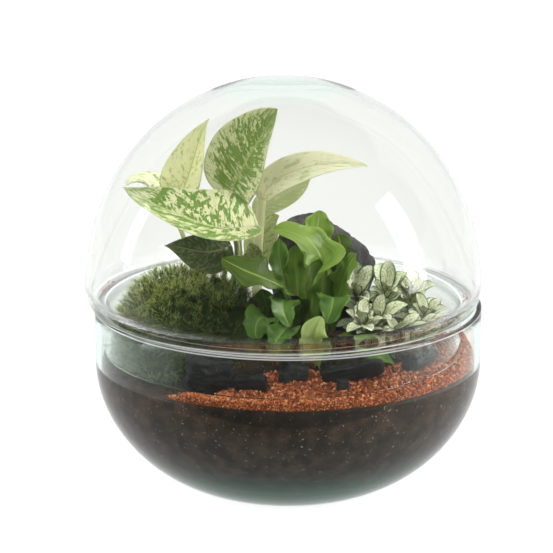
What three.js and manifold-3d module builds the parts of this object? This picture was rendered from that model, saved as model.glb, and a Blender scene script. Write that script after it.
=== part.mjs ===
// Glass plant terrarium: a round-bottomed glass bowl with a domed glass lid. It holds soil, red grit,
// slate, a lava rock, a moss cushion and three small plants: pothos, a wavy fern and fittonia.
// Millimetres, +Z up. The origin is the middle of the bowl's flat foot. The front is towards -Y.

import * as THREE from 'three';
import { mergeVertices } from 'three/addons/utils/BufferGeometryUtils.js';
import loadManifold from 'manifold-3d';

const wasm = await loadManifold();
wasm.setup();

// Driving dimensions: the bowl

const SIDES = 36;             // flats round each turned form
const GAP = 0.35;             // clearance between pieces that touch
const SLIVER = 0.05;          // faces slimmer than this, left by a cut, are merged away
const BOWL_HEIGHT = 107;
const BOWL_RADIUS = 112.4;
const BOWL_WALL = 3.2;
const BOWL_FLOOR = 7;         // thickness of the glass under the soil
const FOOT_RADIUS = 50;
const FLOOR_RADIUS = 46;      // flat part of the floor inside
const CURVE_TOP = 74;         // height where the round bottom meets the upright wall
const CURVE_POWER = 1.5;      // fullness of the round bottom
const BOTTOM_STEPS = 5;       // steps up the round bottom

// Driving dimensions: the dome lid

const LID_SHIFT = -2.8;       // the lid sits this far off the bowl's middle, along X
const DOME_RADIUS = 114.8;
const DOME_RISE = 120.6;      // from the widest level to the top
const DOME_LEVEL = 117.8;     // height of the widest level
const DOME_WALL = 2.6;
const DOME_STEPS = 7;         // steps up the dome
const CROWN_FLAT = 17;        // radius of the nearly flat, thick crown
const SHOULDER_RADIUS = 111.8;
const NECK_RADIUS = 103.7;
const NECK_WALL = 2.7;
const NECK_BOTTOM = 80.6;

// Driving dimensions: the filling

const SOIL_AT_GLASS = 75.6;
const SOIL_INSIDE = 84;       // general level inside the neck
const SOIL_FLAT_RADIUS = 50;  // inside this the soil is at its general level
const SOIL_RING_RADIUS = 99;  // outside this it is at the glass level
const MOUNDS = [              // x, y, height and spread of each hump in the soil
  [-48, -6, 14, 38],
  [15, 32, 8, 44],
  [66, -8, 6, 30],
];
const GRIT_DEPTH = 4;
const GRIT_GRAIN = 1.1;       // height of the relief
const ROOT_DEPTH = 8;
const SOIL_RINGS = 9;         // steps from the middle of the soil's top to its edge
const SOIL_CRUMB = 1;         // roughness of the soil's top

const COLOURS = {
  glass: 0xdfeee6,
  soil: 0x3a2c25,
  grit: 0xa04a2a,
  moss: 0x5b6f2a,
  rock: 0x3b3a3c,
  slate: 0x35373a,
  pothos: 0x9db26a,
  fern: 0x5f9a2f,
  fittonia: 0x8f9f7d,
};

// Small helpers

const at = (x, y, z) => new THREE.Vector3(x, y, z);
const clamp = (value) => Math.min(1, Math.max(0, value));
const smooth = (value) => clamp(value) ** 2 * (3 - 2 * clamp(value));
const mix = (a, b, share) => a + (b - a) * share;

// A repeatable random draw between 0 and 1
function seeded(seed) {
  let state = seed;
  return () => {
    state = (state * 16807) % 2147483647;
    return state / 2147483647;
  };
}

// Solids: closed meshes that can be joined and cut

function toSolid(geometry) {
  const bare = geometry.clone();
  bare.deleteAttribute('normal');
  bare.deleteAttribute('uv');
  const merged = mergeVertices(bare, 1e-4);
  const vertProperties = new Float32Array(merged.attributes.position.array);
  const triVerts = new Uint32Array(merged.index.array);
  return new wasm.Manifold(new wasm.Mesh({ numProp: 3, vertProperties, triVerts }));
}

function meshSolid(points, faces) {
  const volume = faces.reduce((sum, _, k) => {
    if (k % 3) return sum;
    const [a, b, c] = [points[faces[k]], points[faces[k + 1]], points[faces[k + 2]]];
    return sum + a.dot(b.clone().cross(c));
  }, 0);
  const outward = volume > 0 ? faces : faces.slice().reverse();
  const geometry = new THREE.BufferGeometry().setFromPoints(points);
  geometry.setIndex(outward);
  return toSolid(geometry);
}

function toGeometry(solid) {
  const mesh = solid.getMesh();
  const geometry = new THREE.BufferGeometry();
  geometry.setAttribute('position', new THREE.BufferAttribute(mesh.vertProperties, 3));
  geometry.setIndex(Array.from(mesh.triVerts));
  geometry.computeVertexNormals();
  return geometry;
}

// The largest body of a cut, so that no crumb is left beside it
function mainBody(solid) {
  const bodies = solid.decompose();
  return bodies.reduce((best, body) => (body.volume() > best.volume() ? body : best));
}

const joined = (solids) => solids.reduce((whole, solid) => whole.add(solid));

// A profile of radius and height turned about the Z axis
function turned(profile) {
  const points = profile.map(([radius, height]) => new THREE.Vector2(radius, height));
  return toSolid(new THREE.LatheGeometry(points, SIDES).rotateX(Math.PI / 2));
}

// A closed sheet between two grids of points, split alike on both faces
function slab(upper, lower) {
  const rows = upper.length;
  const cols = upper[0].length;
  const below = rows * cols;
  const index = (row, col) => row * cols + col;
  const faces = [];
  for (let row = 0; row < rows - 1; row += 1) {
    for (let col = 0; col < cols - 1; col += 1) {
      const a = index(row, col);
      const b = index(row, col + 1);
      const c = index(row + 1, col + 1);
      const d = index(row + 1, col);
      faces.push(a, b, c, a, c, d);
      faces.push(a + below, c + below, b + below, a + below, d + below, c + below);
    }
  }
  const edge = [];
  for (let col = 0; col < cols - 1; col += 1) edge.push(index(0, col));
  for (let row = 0; row < rows - 1; row += 1) edge.push(index(row, cols - 1));
  for (let col = cols - 1; col > 0; col -= 1) edge.push(index(rows - 1, col));
  for (let row = rows - 1; row > 0; row -= 1) edge.push(index(row, 0));
  edge.forEach((a, k) => {
    const b = edge[(k + 1) % edge.length];
    faces.push(a, a + below, b + below, a, b + below, b);
  });
  return meshSolid([...upper.flat(), ...lower.flat()], faces);
}

// A closed skin over rings of points, with a flat fan at each end
function loft(rings) {
  const count = rings[0].length;
  const faces = [];
  for (let ring = 0; ring < rings.length - 1; ring += 1) {
    for (let k = 0; k < count; k += 1) {
      const a = ring * count + k;
      const b = ring * count + ((k + 1) % count);
      faces.push(a, b, b + count, a, b + count, a + count);
    }
  }
  const last = (rings.length - 1) * count;
  for (let k = 1; k < count - 1; k += 1) {
    faces.push(0, k + 1, k);
    faces.push(last, last + k, last + k + 1);
  }
  return meshSolid(rings.flat(), faces);
}

// A disc of six-sided rings. place(share, turn, crest) gives a point for each share of the radius
// and turn round the middle; crest is true at every third point, so crests never touch each other.
function disc(ringCount, place, floorHeight) {
  const points = [];
  const number = new Map();
  const rim = [];
  const key = (q, r) => `${q},${r}`;
  for (let q = -ringCount; q <= ringCount; q += 1) {
    for (let r = -ringCount; r <= ringCount; r += 1) {
      const ring = Math.max(Math.abs(q), Math.abs(r), Math.abs(q + r));
      if (ring > ringCount) continue;
      const turn = Math.atan2(r * Math.sqrt(3), 2 * q + r);
      const crest = (q - r + 3 * ringCount) % 3 === 0 && ring < ringCount;
      number.set(key(q, r), points.length);
      if (ring === ringCount) rim.push({ turn, index: points.length });
      points.push(place(ring / ringCount, turn, crest));
    }
  }
  const faces = [];
  const add = (...corners) => {
    const found = corners.map(([q, r]) => number.get(key(q, r)));
    if (found.every((index) => index !== undefined)) faces.push(...found);
  };
  for (let q = -ringCount; q < ringCount; q += 1) {
    for (let r = -ringCount; r < ringCount + 1; r += 1) {
      add([q, r], [q + 1, r], [q, r + 1]);
      add([q + 1, r], [q + 1, r + 1], [q, r + 1]);
    }
  }
  rim.sort((a, b) => a.turn - b.turn);
  const base = points.length;
  rim.forEach(({ index }) => points.push(at(points[index].x, points[index].y, floorHeight)));
  rim.forEach(({ index }, k) => {
    const next = (k + 1) % rim.length;
    faces.push(index, base + k, base + next, index, base + next, rim[next].index);
    if (k > 0 && next > 0) faces.push(base, base + next, base + k);
  });
  return meshSolid(points, faces);
}

// Curves and plant forms

// The smooth curve that passes its four points at equal steps
function through([a, b, c, d]) {
  const early = a.clone().multiplyScalar(-5).addScaledVector(b, 18).addScaledVector(c, -9);
  const late = a.clone().multiplyScalar(2).addScaledVector(b, -9).addScaledVector(c, 18);
  early.addScaledVector(d, 2).divideScalar(6);
  late.addScaledVector(d, -5).divideScalar(6);
  return new THREE.CubicBezierCurve3(a, early, late, d);
}

const spineOf = (points) => through(points.map(([x, y, z]) => at(x, y, z)));

// A round stalk along a curve, from one radius to another, on a foot that goes straight down
function stalk(curve, radii, steps, sides, foot = 0) {
  const frames = curve.computeFrenetFrames(steps, false);
  const rings = [];
  for (let step = 0; step <= steps; step += 1) {
    const share = step / steps;
    const middle = curve.getPointAt(share);
    const radius = mix(radii[0], radii[1], share);
    const ring = [];
    for (let side = 0; side < sides; side += 1) {
      const angle = (2 * Math.PI * side) / sides;
      const point = middle.clone();
      point.addScaledVector(frames.normals[step], radius * Math.cos(angle));
      point.addScaledVector(frames.binormals[step], radius * Math.sin(angle));
      ring.push(point);
    }
    rings.push(ring);
  }
  if (foot > 0) rings.unshift(rings[0].map((point) => point.clone().setZ(point.z - foot)));
  return loft(rings);
}

// Half width along a blade, as a share of its widest: 0 at the base to 1 at the tip
const OUTLINES = {
  heart: (t) => (t ** 0.45 * (1 - t) ** 0.85) / 0.432,
  pointed: (t) => (t ** 0.45 * (1 - t) ** 1.25) / 0.3745,
  strap: (t) => (0.14 + 0.86 * smooth((t - 0.1) / 0.5)) * (1 - t ** 5) ** 0.6,
  oval: (t) => Math.sin(Math.PI * t ** 0.85) ** 0.75,
};

// A leaf blade. The section at each step along the spine is a shallow V that opens to the face
// direction by the fold angle, with margins that wave and, near the base, lobes that reach back.
function blade(leaf) {
  const { spine, face, width, outline, rows, cols } = leaf;
  const { thick = 0.8, fold = [0.2, 0.2], lobe = 0, wave = 0, waves = 0, phase = 0 } = leaf;
  const curve = spineOf(spine);
  const upper = [];
  const lower = [];
  for (let row = 0; row < rows; row += 1) {
    const t = (1 - Math.cos((Math.PI * row) / (rows - 1))) / 2;
    const middle = curve.getPoint(t);
    const along = curve.getTangent(t);
    const normal = at(...face[0]).lerp(at(...face[1]), t);
    normal.addScaledVector(along, -normal.dot(along)).normalize();
    const across = along.clone().cross(normal);
    const half = Math.max(width * OUTLINES[outline](t), 0.7);
    const open = mix(fold[0], fold[1], t);
    const top = [];
    const bottom = [];
    for (let col = 0; col < cols; col += 1) {
      const side = (2 * col) / (cols - 1) - 1;
      const reach = Math.abs(side);
      const turn = 2 * Math.PI * waves * t + phase + (side < 0 ? 2 : 0);
      const ripple = wave * reach ** 1.5 * Math.sin(turn) * Math.sin(Math.PI * t) ** 0.5;
      const point = middle.clone();
      point.addScaledVector(across, side * half * Math.cos(open));
      point.addScaledVector(normal, reach * half * Math.sin(open) + ripple);
      point.addScaledVector(along, -lobe * width * reach ** 1.3 * (1 - t) ** 3);
      top.push(point);
      bottom.push(point.clone().addScaledVector(normal, -thick));
    }
    upper.push(top);
    lower.push(bottom);
  }
  return slab(upper, lower);
}

// A rounded block: the shape between random planes, softened where they meet
function stone({ centre, size, turn, planes, seed, edge, detail }) {
  const random = seeded(seed);
  const cuts = Array.from({ length: planes }, () => {
    const height = 2 * random() - 1;
    const angle = 2 * Math.PI * random();
    const flat = Math.sqrt(1 - height * height);
    const normal = at(flat * Math.cos(angle), flat * Math.sin(angle), height);
    return { normal, reach: 0.78 + 0.22 * random() };
  });
  for (const [x, y, z] of [[1, 0, 0], [-1, 0, 0], [0, 1, 0], [0, -1, 0], [0, 0, 1], [0, 0, -1]]) {
    cuts.push({ normal: at(x, y, z), reach: 1 });
  }
  const geometry = mergeVertices(new THREE.IcosahedronGeometry(1, detail).deleteAttribute('normal')
    .deleteAttribute('uv'), 1e-4);
  const position = geometry.attributes.position;
  const direction = new THREE.Vector3();
  for (let k = 0; k < position.count; k += 1) {
    direction.fromBufferAttribute(position, k).normalize();
    const total = cuts.reduce((sum, { normal, reach }) => (
      sum + (Math.max(0, normal.dot(direction)) / reach) ** edge), 0);
    direction.multiplyScalar(total ** (-1 / edge));
    position.setXYZ(k, direction.x, direction.y, direction.z);
  }
  geometry.scale(size[0] / 2, size[1] / 2, size[2] / 2);
  geometry.rotateX(turn[0]).rotateY(turn[1]).rotateZ(turn[2]);
  geometry.translate(...centre);
  return toSolid(geometry);
}

// Glass

// The round bottom: the radius at a height, for a foot, a wall and a floor level
function bottomRadius(height, foot, wall, floor) {
  const rise = clamp((height - floor) / (CURVE_TOP - floor));
  return foot + (wall - foot) * (1 - (1 - rise) ** 2) ** (1 / CURVE_POWER);
}

// Points up the round bottom, closer together near the foot where it turns fastest
function bottomCurve(foot, wall, floor, steps) {
  return Array.from({ length: steps + 1 }, (_, k) => {
    const height = floor + (CURVE_TOP - floor) * (k / steps) ** 1.7;
    return [bottomRadius(height, foot, wall, floor), height];
  });
}

function glassBowl() {
  const inner = BOWL_RADIUS - BOWL_WALL;
  const rimMiddle = BOWL_RADIUS - BOWL_WALL / 2;
  const outside = bottomCurve(FOOT_RADIUS, BOWL_RADIUS, 0, BOTTOM_STEPS);
  const inside = bottomCurve(FLOOR_RADIUS, inner, BOWL_FLOOR, BOTTOM_STEPS).reverse();
  const rim = [
    [BOWL_RADIUS, BOWL_HEIGHT - 1.3],
    [rimMiddle + 0.9, BOWL_HEIGHT],
    [rimMiddle - 0.9, BOWL_HEIGHT],
    [inner, BOWL_HEIGHT - 1.3],
  ];
  return turned([[0, 0], ...outside, ...rim, ...inside, [0, BOWL_FLOOR]]);
}

function domeCurve(radius, rise, steps) {
  return Array.from({ length: steps }, (_, k) => {
    const angle = (Math.PI / 2) * (1 - k / steps);
    return [radius * Math.cos(angle), DOME_LEVEL + rise * Math.sin(angle)];
  });
}

function glassDome() {
  const seat = BOWL_HEIGHT + GAP;
  const inside = NECK_RADIUS - NECK_WALL;
  const crown = DOME_LEVEL + DOME_RISE;
  const outer = domeCurve(DOME_RADIUS, DOME_RISE, DOME_STEPS).slice(1);
  const inner = domeCurve(DOME_RADIUS - DOME_WALL, DOME_RISE - DOME_WALL, DOME_STEPS).slice(1).reverse();
  const profile = [
    [0, crown],
    [CROWN_FLAT, crown - 1.1],
    ...outer,
    [DOME_RADIUS, DOME_LEVEL],
    [DOME_RADIUS - 0.9, seat + 4],
    [SHOULDER_RADIUS, seat + 0.6],
    [SHOULDER_RADIUS - 1.2, seat],
    [NECK_RADIUS + 2, seat],
    [NECK_RADIUS, seat - 2.4],
    [NECK_RADIUS, NECK_BOTTOM + 1],
    [NECK_RADIUS - NECK_WALL / 2, NECK_BOTTOM],
    [inside, NECK_BOTTOM + 1],
    [inside, seat - 2.4],
    [inside + 2.4, seat + 1.7],
    [inside + 8.6, seat + 5],
    [DOME_RADIUS - DOME_WALL, DOME_LEVEL],
    ...inner,
    [0, crown - DOME_WALL - 1.4],
  ];
  return turned(profile.reverse()).translate([LID_SHIFT, 0, 0]);
}

// Soil and grit

function soilTop(x, y) {
  const fromAxis = Math.hypot(x - LID_SHIFT, y);
  const inside = smooth((SOIL_RING_RADIUS - fromAxis) / (SOIL_RING_RADIUS - SOIL_FLAT_RADIUS));
  const humps = MOUNDS.reduce((sum, [humpX, humpY, height, spread]) => (
    sum + height * Math.exp(-((x - humpX) ** 2 + (y - humpY) ** 2) / spread ** 2)), 0);
  return SOIL_AT_GLASS + inside * (SOIL_INSIDE - SOIL_AT_GLASS + humps);
}

// The space inside the bowl, a hair smaller than the glass
function bowlFilling() {
  const inner = BOWL_RADIUS - BOWL_WALL - GAP;
  const wall = bottomCurve(FLOOR_RADIUS - GAP, inner, BOWL_FLOOR + GAP, BOTTOM_STEPS);
  return turned([[0, BOWL_FLOOR + GAP], ...wall, [inner, BOWL_HEIGHT], [0, BOWL_HEIGHT]]);
}

function soilBody(filling) {
  const random = seeded(11);
  const reach = BOWL_RADIUS + 2;
  const ground = disc(SOIL_RINGS, (share, turn) => {
    const x = reach * share * Math.cos(turn);
    const y = reach * share * Math.sin(turn);
    const crumb = share < 0.8 ? SOIL_CRUMB * (random() - 0.5) : 0;
    return at(x, y, soilTop(x, y) + crumb);
  }, -1);
  return mainBody(filling.intersect(ground));
}

// The inner edge of the grit, from the left round the front to the right
const GRIT_EDGE = [
  [-60, -86], [-46, -86], [-33, -78], [-16, -66], [6, -62], [29, -62], [52, -50], [78, -18], [88, 34],
];
const GRIT_START = -2.24;     // angles of the outer edge about the bowl's axis, in radians
const GRIT_END = 0.42;
const GRIT_ROWS = 36;
const GRIT_COLS = 6;

function redGravel(soil, filling) {
  const inner = new THREE.CatmullRomCurve3(GRIT_EDGE.map(([x, y]) => at(x, y, 0)), false, 'centripetal');
  const outer = BOWL_RADIUS;
  const random = seeded(23);
  const upper = [];
  const lower = [];
  for (let row = 0; row <= GRIT_ROWS; row += 1) {
    const share = row / GRIT_ROWS;
    const angle = mix(GRIT_START, GRIT_END, share);
    const far = at(outer * Math.cos(angle), outer * Math.sin(angle), 0);
    const near = inner.getPoint(share);
    const top = [];
    const bottom = [];
    for (let col = 0; col <= GRIT_COLS; col += 1) {
      const point = near.clone().lerp(far, col / GRIT_COLS);
      const taper = smooth(Math.min(share, 1 - share) / 0.06) * smooth(0.25 + col / 2.5);
      const level = soilTop(point.x, point.y) + 1 + (GRIT_DEPTH - 1) * taper;
      const beyond = Math.hypot(point.x - LID_SHIFT, point.y) > NECK_RADIUS - 9;
      const height = level + GRIT_GRAIN * random() * (beyond ? 0 : 1);
      top.push(at(point.x, point.y, beyond ? Math.min(height, NECK_BOTTOM - GAP) : height));
      bottom.push(at(point.x, point.y, CURVE_TOP + 0.5));
    }
    upper.push(top);
    lower.push(bottom);
  }
  const layer = slab(upper, lower).intersect(filling);
  return mainBody(layer.subtract(soil.translate([0, 0, GAP]))).simplify(SLIVER);
}

// Moss

const MOSS_MIDDLE = [-54, -20];
const MOSS_EDGE = [
  [-97, -18], [-94, 8], [-78, 22], [-60, 10], [-46, -6], [-27, -12], [-12, -16], [-7, -30],
  [-14, -44], [-32, -52], [-54, -60], [-74, -61], [-88, -42],
];
const MOSS_CROWN = 123;       // height over the middle
const MOSS_TUFT = 3.8;        // mean height of a tuft
const MOSS_TOP_FALL = 0.14;   // slope of the top down to the right
const MOSS_RINGS = 15;

function mossCushion(soil) {
  const edge = new THREE.CatmullRomCurve3(MOSS_EDGE.map(([x, y]) => at(x, y, 0)), true, 'centripetal');
  const middle = at(...MOSS_MIDDLE, 0);
  const heart = at(...MOSS_MIDDLE, SOIL_INSIDE - 10);
  const random = seeded(5);
  const body = disc(MOSS_RINGS, (share, turn, crest) => {
    const stray = share < 0.9 ? 0.4 * (random() - 0.5) : 0;
    const round = (1.5 - (turn + stray / (6 * share + 1)) / (2 * Math.PI)) % 1;
    const point = middle.clone().lerp(edge.getPoint(round), share + stray / MOSS_RINGS);
    const rise = 0.1 * (point.y - MOSS_MIDDLE[1]) - MOSS_TOP_FALL * Math.max(0, point.x + 46);
    const crown = MOSS_CROWN + rise - SOIL_AT_GLASS;
    point.z = SOIL_AT_GLASS + crown * (1 - share ** 2.8) ** 0.45;
    const outward = point.clone().sub(heart).normalize();
    const tuft = MOSS_TUFT * (0.7 + 0.6 * random());
    return crest ? point.addScaledVector(outward, tuft) : point;
  }, SOIL_AT_GLASS - 8);
  return mainBody(body.subtract(soil.translate([0, 0, GAP])));
}

// Rock and slate

const BACK_ROCK = {
  centre: [21, 36, 112], size: [74, 36, 78], turn: [0, 0.2, 0.1], planes: 14, seed: 31, edge: 7, detail: 3,
};
const SLATES = [
  { centre: [-44, -77, 87], size: [25, 16, 22], turn: [0.1, 0.1, 0.35], planes: 5, seed: 3 },
  { centre: [-20, -83, 83], size: [20, 12, 12], turn: [0.1, -0.1, -0.2], planes: 6, seed: 8 },
  { centre: [1, -73, 86], size: [19, 13, 13], turn: [0, 0.2, 0.3], planes: 5, seed: 14 },
  { centre: [35, -72, 87], size: [37, 11, 11], turn: [0.1, -0.2, 0.1], planes: 7, seed: 21 },
  { centre: [29, -83, 83], size: [10, 8, 8], turn: [0, 0.1, 0.4], planes: 6, seed: 27 },
  { centre: [72, -45, 87], size: [27, 13, 14], turn: [0, -0.1, 1.03], planes: 6, seed: 35 },
  { centre: [36, 6, 100], size: [26, 16, 30], turn: [0, 0.15, 0.2], planes: 6, seed: 40 },
];

// Plants

const HEART = { outline: 'heart', rows: 9, cols: 5, thick: 0.9 };
const STRAP = { outline: 'strap', rows: 11, cols: 5, thick: 0.8, fold: [0.3, 0.1], wave: 2.4 };
const OVAL = { outline: 'oval', rows: 5, cols: 3, thick: 0.7, fold: [0.25, 0.25] };

const STALK_STEPS = 5;
const STALK_SIDES = 6;
const HOLE_CLEARANCE = 0.6;   // between a stalk and the side of its hole in the soil
const FROND_HOLE = 3;         // radius of the hole a frond stands in

// Each pothos leaf: its stalk from the soil to the blade, and its blade from base to tip
const POTHOS = {
  pothos_leaf_tall: [{
    stalk: [[-28, 12, 98], [-28, 12, 127], [-30, 12, 153], [-32, 6, 173]], radii: [2.1, 1.5],
    spine: [[-32, 6, 173], [-25, 0, 188], [-16, -12, 206], [-6, -28, 225]],
    face: [[-0.3, -0.8, 0.45], [-0.35, -0.8, 0.4]],
    width: 24, fold: [0.45, 0.35], lobe: 0.3, wave: 1, waves: 1.5,
  }],
  pothos_leaf_rolled: [{
    stalk: [[-43, 18, 98], [-44, 19, 120], [-54, 21, 146], [-63, 20, 165]], radii: [1.9, 1.4],
    spine: [[-63, 20, 165], [-57, 20, 180], [-52, 16, 197], [-45, 8, 214]],
    face: [[-0.4, -0.8, 0.3], [-0.4, -0.8, 0.3]],
    outline: 'pointed', width: 16, fold: [0.5, 0.5], lobe: 0.3, wave: 1, waves: 1,
  }],
  pothos_leaf_rear_left: [{
    stalk: [[-54, 26, 96], [-56, 25, 118], [-62, 26, 140], [-70, 26, 159]], radii: [1.7, 1.3],
    spine: [[-70, 26, 159], [-77, 27, 167], [-86, 22, 173], [-94, 12, 173]],
    face: [[0, -0.5, 0.9], [-0.3, -0.5, 0.8]],
    width: 11, fold: [0.3, 0.2], lobe: 0.4, wave: 1, waves: 1,
  }],
  pothos_leaf_front: [{
    stalk: [[-33, -1, 99], [-32, -2, 117], [-29, -16, 140], [-34, -30, 158]], radii: [2.1, 1.6],
    spine: [[-34, -30, 158], [-51, -32, 162], [-73, -26, 170], [-94, -10, 177]],
    face: [[0.1, -0.36, 0.93], [0, -0.45, 0.9]],
    outline: 'pointed', width: 25, fold: [0.45, 0.3], lobe: 0.75, wave: 1.2, waves: 1.5,
  }],
  pothos_stem_right: [{
    stalk: [[-18, 9, 98], [-18, 9, 120], [-17, 9, 142], [-15, 6, 167]], radii: [3.2, 2.4],
    spine: [[-15, 6, 167], [-4, 3, 180], [18, 0, 188], [46, 0, 187]],
    face: [[-0.4, -0.8, 0.4], [-0.1, -0.8, 0.6]],
    width: 10, fold: [0.3, 0.2], lobe: 0.1, wave: 1, waves: 1.5,
  }, {
    stalk: [[-17, 9, 132], [-18, 13, 140], [-19, 18, 148], [-18, 22, 156]], radii: [1.6, 1.2],
    spine: [[-18, 22, 156], [-7, 24, 161], [4, 27, 167], [13, 29, 173]],
    face: [[-0.3, -0.8, 0.6], [-0.1, -0.8, 0.6]],
    width: 9, fold: [0.3, 0.2], lobe: 0.3, wave: 0.8, waves: 1,
  }],
  pothos_leaf_rear: [{
    stalk: [[-18, 37, 94], [-18, 40, 103], [-18, 44, 111], [-16, 48, 118]], radii: [1.4, 1.1],
    spine: [[-16, 48, 118], [-16, 52, 128], [-13, 55, 138], [-5, 56, 144]],
    face: [[0, -1, 0.2], [0.2, -1, 0.2]],
    width: 11, fold: [0.3, 0.2], lobe: 0.3, wave: 0.8, waves: 1,
  }],
  pothos_leaf_shaded: [{
    stalk: [[-38, 3, 99], [-38, 3, 113], [-36, -4, 128], [-36, -12, 142]], radii: [1.7, 1.3],
    spine: [[-36, -12, 142], [-48, -14, 140], [-59, -14, 142], [-71, -12, 143]],
    face: [[-0.1, -0.95, 0.1], [-0.2, -0.95, 0.1]],
    outline: 'pointed', width: 13, fold: [0.2, 0.15], lobe: 0.3, wave: 1, waves: 1,
  }],
  pothos_leaf_young: [{
    stalk: [[-25, 1, 99], [-25, 0, 110], [-24, -3, 119], [-23, -5, 126]], radii: [1.4, 1.1],
    spine: [[-23, -5, 126], [-20, -6, 131], [-20, -7, 138], [-23, -8, 143]],
    face: [[-0.3, -0.9, 0.2], [-0.2, -0.9, 0.3]],
    width: 8, fold: [0.5, 0.3], wave: 0.6, waves: 1,
  }],
};

// Each fern frond, from its foot in the soil to its tip
const FERN = [
  {
    spine: [[3, -32, 79], [5, -46, 118], [-12, -55, 135], [-37, -51, 146]],
    face: [[0.3, 0.9, 0.3], [0.2, -0.8, 0.6]], width: 12, waves: 3,
  }, {
    spine: [[13, -28, 79], [19, -35, 118], [17, -38, 146], [-8, -40, 160]],
    face: [[-0.4, 0.8, 0.2], [0, -0.7, 0.8]], width: 13, waves: 3,
  }, {
    spine: [[11, -19, 79], [13, -14, 115], [16, -6, 142], [18, 4, 160]],
    face: [[0, -1, 0.1], [0, -1, 0.2]], width: 11, waves: 3,
  }, {
    spine: [[18, -23, 79], [24, -22, 116], [29, -20, 138], [28, -16, 151]],
    face: [[-0.5, -0.8, 0.1], [-0.3, -0.9, 0.2]], width: 10, waves: 3,
  }, {
    spine: [[21, -28, 79], [27, -30, 110], [31, -36, 131], [38, -41, 146]],
    face: [[-0.6, -0.6, 0.3], [-0.5, -0.7, 0.4]], width: 7, waves: 3,
  }, {
    spine: [[8, -24, 79], [6, -23, 110], [4, -26, 132], [4, -31, 148]],
    face: [[0, -1, 0.1], [0.1, -1, 0]], width: 7, waves: 2,
  }, {
    spine: [[4, -19, 79], [0, -14, 109], [-4, -12, 130], [-5, -12, 147]],
    face: [[0, -1, 0.1], [0.2, -1, 0.1]], width: 7, waves: 2,
  }, {
    spine: [[6, -37, 79], [2, -49, 116], [-3, -61, 124], [1, -70, 112]],
    face: [[0.2, 0.6, 0.7], [0.1, -0.7, 0.8]], width: 9, waves: 3,
  }, {
    spine: [[16, -51, 76], [15, -60, 91], [14, -67, 104], [18, -67, 117]],
    face: [[0, -0.6, 0.7], [0, -0.9, 0.2]], width: 9, waves: 1.5, fold: [0.2, 0.3],
  }, {
    spine: [[19, -33, 79], [23, -40, 116], [25, -50, 122], [21, -57, 110]],
    face: [[0, 0.6, 0.7], [0.2, -0.7, 0.7]], width: 9, waves: 2,
  }, {
    spine: [[0, -28, 79], [-9, -39, 106], [-17, -55, 111], [-17, -69, 101]],
    face: [[0.5, 0.5, 0.7], [0, -0.6, 0.8]], width: 9, waves: 3,
  }, {
    spine: [[10, -42, 79], [3, -55, 106], [-4, -69, 107], [-7, -79, 98]],
    face: [[0.2, 0.5, 0.8], [0.1, -0.6, 0.8]], width: 8, waves: 2,
  }, {
    spine: [[24, -36, 79], [29, -49, 97], [42, -58, 95], [59, -61, 88]],
    face: [[-0.4, 0.4, 0.8], [0, -0.3, 1]], width: 6.5, waves: 2,
  },
];

// Each fittonia stem: its root, its head and the tips of its leaves
const FITTONIA = [
  {
    root: [42, -15], head: [40, -10, 112],
    tips: [[38, -4, 132], [48, -7, 130], [28, -14, 127], [28, -20, 114], [46, -24, 114]],
  }, {
    root: [55, -12], head: [57, -7, 113],
    tips: [[58, -4, 132], [68, 0, 124], [52, 8, 127], [62, -20, 118]],
  }, {
    root: [67, -2], head: [72, 3, 109],
    tips: [[86, 2, 116], [73, 18, 120], [59, 15, 118], [79, -9, 114]],
  }, {
    root: [51, -25], head: [50, -29, 102],
    tips: [[54, -29, 119], [68, -25, 112], [39, -25, 113], [58, -43, 108]],
  }, {
    root: [70, -14], head: [80, -15, 101],
    tips: [[74, -13, 115], [91, -20, 108], [87, 1, 108]],
  }, {
    root: [60, -33], head: [63, -39, 96],
    tips: [[74, -34, 109], [80, -45, 103], [57, -55, 99], [66, -53, 108]],
  }, {
    root: [45, -34], head: [42, -39, 104],
    tips: [[27, -43, 104], [33, -54, 103], [47, -54, 103], [43, -31, 117]],
  }, {
    root: [70, -25], head: [76, -29, 96],
    tips: [[90, -25, 104], [85, -39, 102], [69, -27, 109]],
  },
];
const FITTONIA_FACE = [0, -0.45, 1];
const FITTONIA_WIDTH = 0.32;  // half width as a share of the length
const FITTONIA_ARCH = 0.14;   // rise of the middle as a share of the length
const BUD_RADIUS = 1.9;
const FITTONIA_STEM = [1.2, 1];

// A straight six-sided hole in the soil that starts below one point and goes out past the other
function holeAlong(from, to, radius) {
  const along = to.clone().sub(from).normalize();
  const low = from.clone().addScaledVector(along, -2 * GAP);
  const high = from.clone().addScaledVector(along, 2.5 * ROOT_DEPTH);
  return stalk(new THREE.LineCurve3(low, high), [radius, radius], 1, STALK_SIDES);
}

function uprightHole([x, y], radius) {
  const low = soilTop(x, y) - ROOT_DEPTH - 1.3;
  return holeAlong(at(x, y, low), at(x, y, low + 1), radius);
}

function pothosLeaf(parts) {
  return joined(parts.flatMap(({ stalk: route, radii, ...leaf }, index) => [
    stalk(spineOf(route), radii, STALK_STEPS, STALK_SIDES, index === 0 ? ROOT_DEPTH : 0),
    blade({ ...HEART, ...leaf }),
  ]));
}

// The four points of a fittonia leaf's spine, which arches between the bud and its tip
function archedSpine(head, tip) {
  const start = at(...head);
  const reach = at(...tip).sub(start);
  const length = reach.length();
  const lift = at(...FITTONIA_FACE).normalize().multiplyScalar(4 * FITTONIA_ARCH * length);
  start.addScaledVector(reach, (0.7 * BUD_RADIUS) / length);
  const end = at(...tip);
  return [0, 1 / 3, 2 / 3, 1].map((share) => (
    start.clone().lerp(end, share).addScaledVector(lift, share * (1 - share)).toArray()));
}

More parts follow.
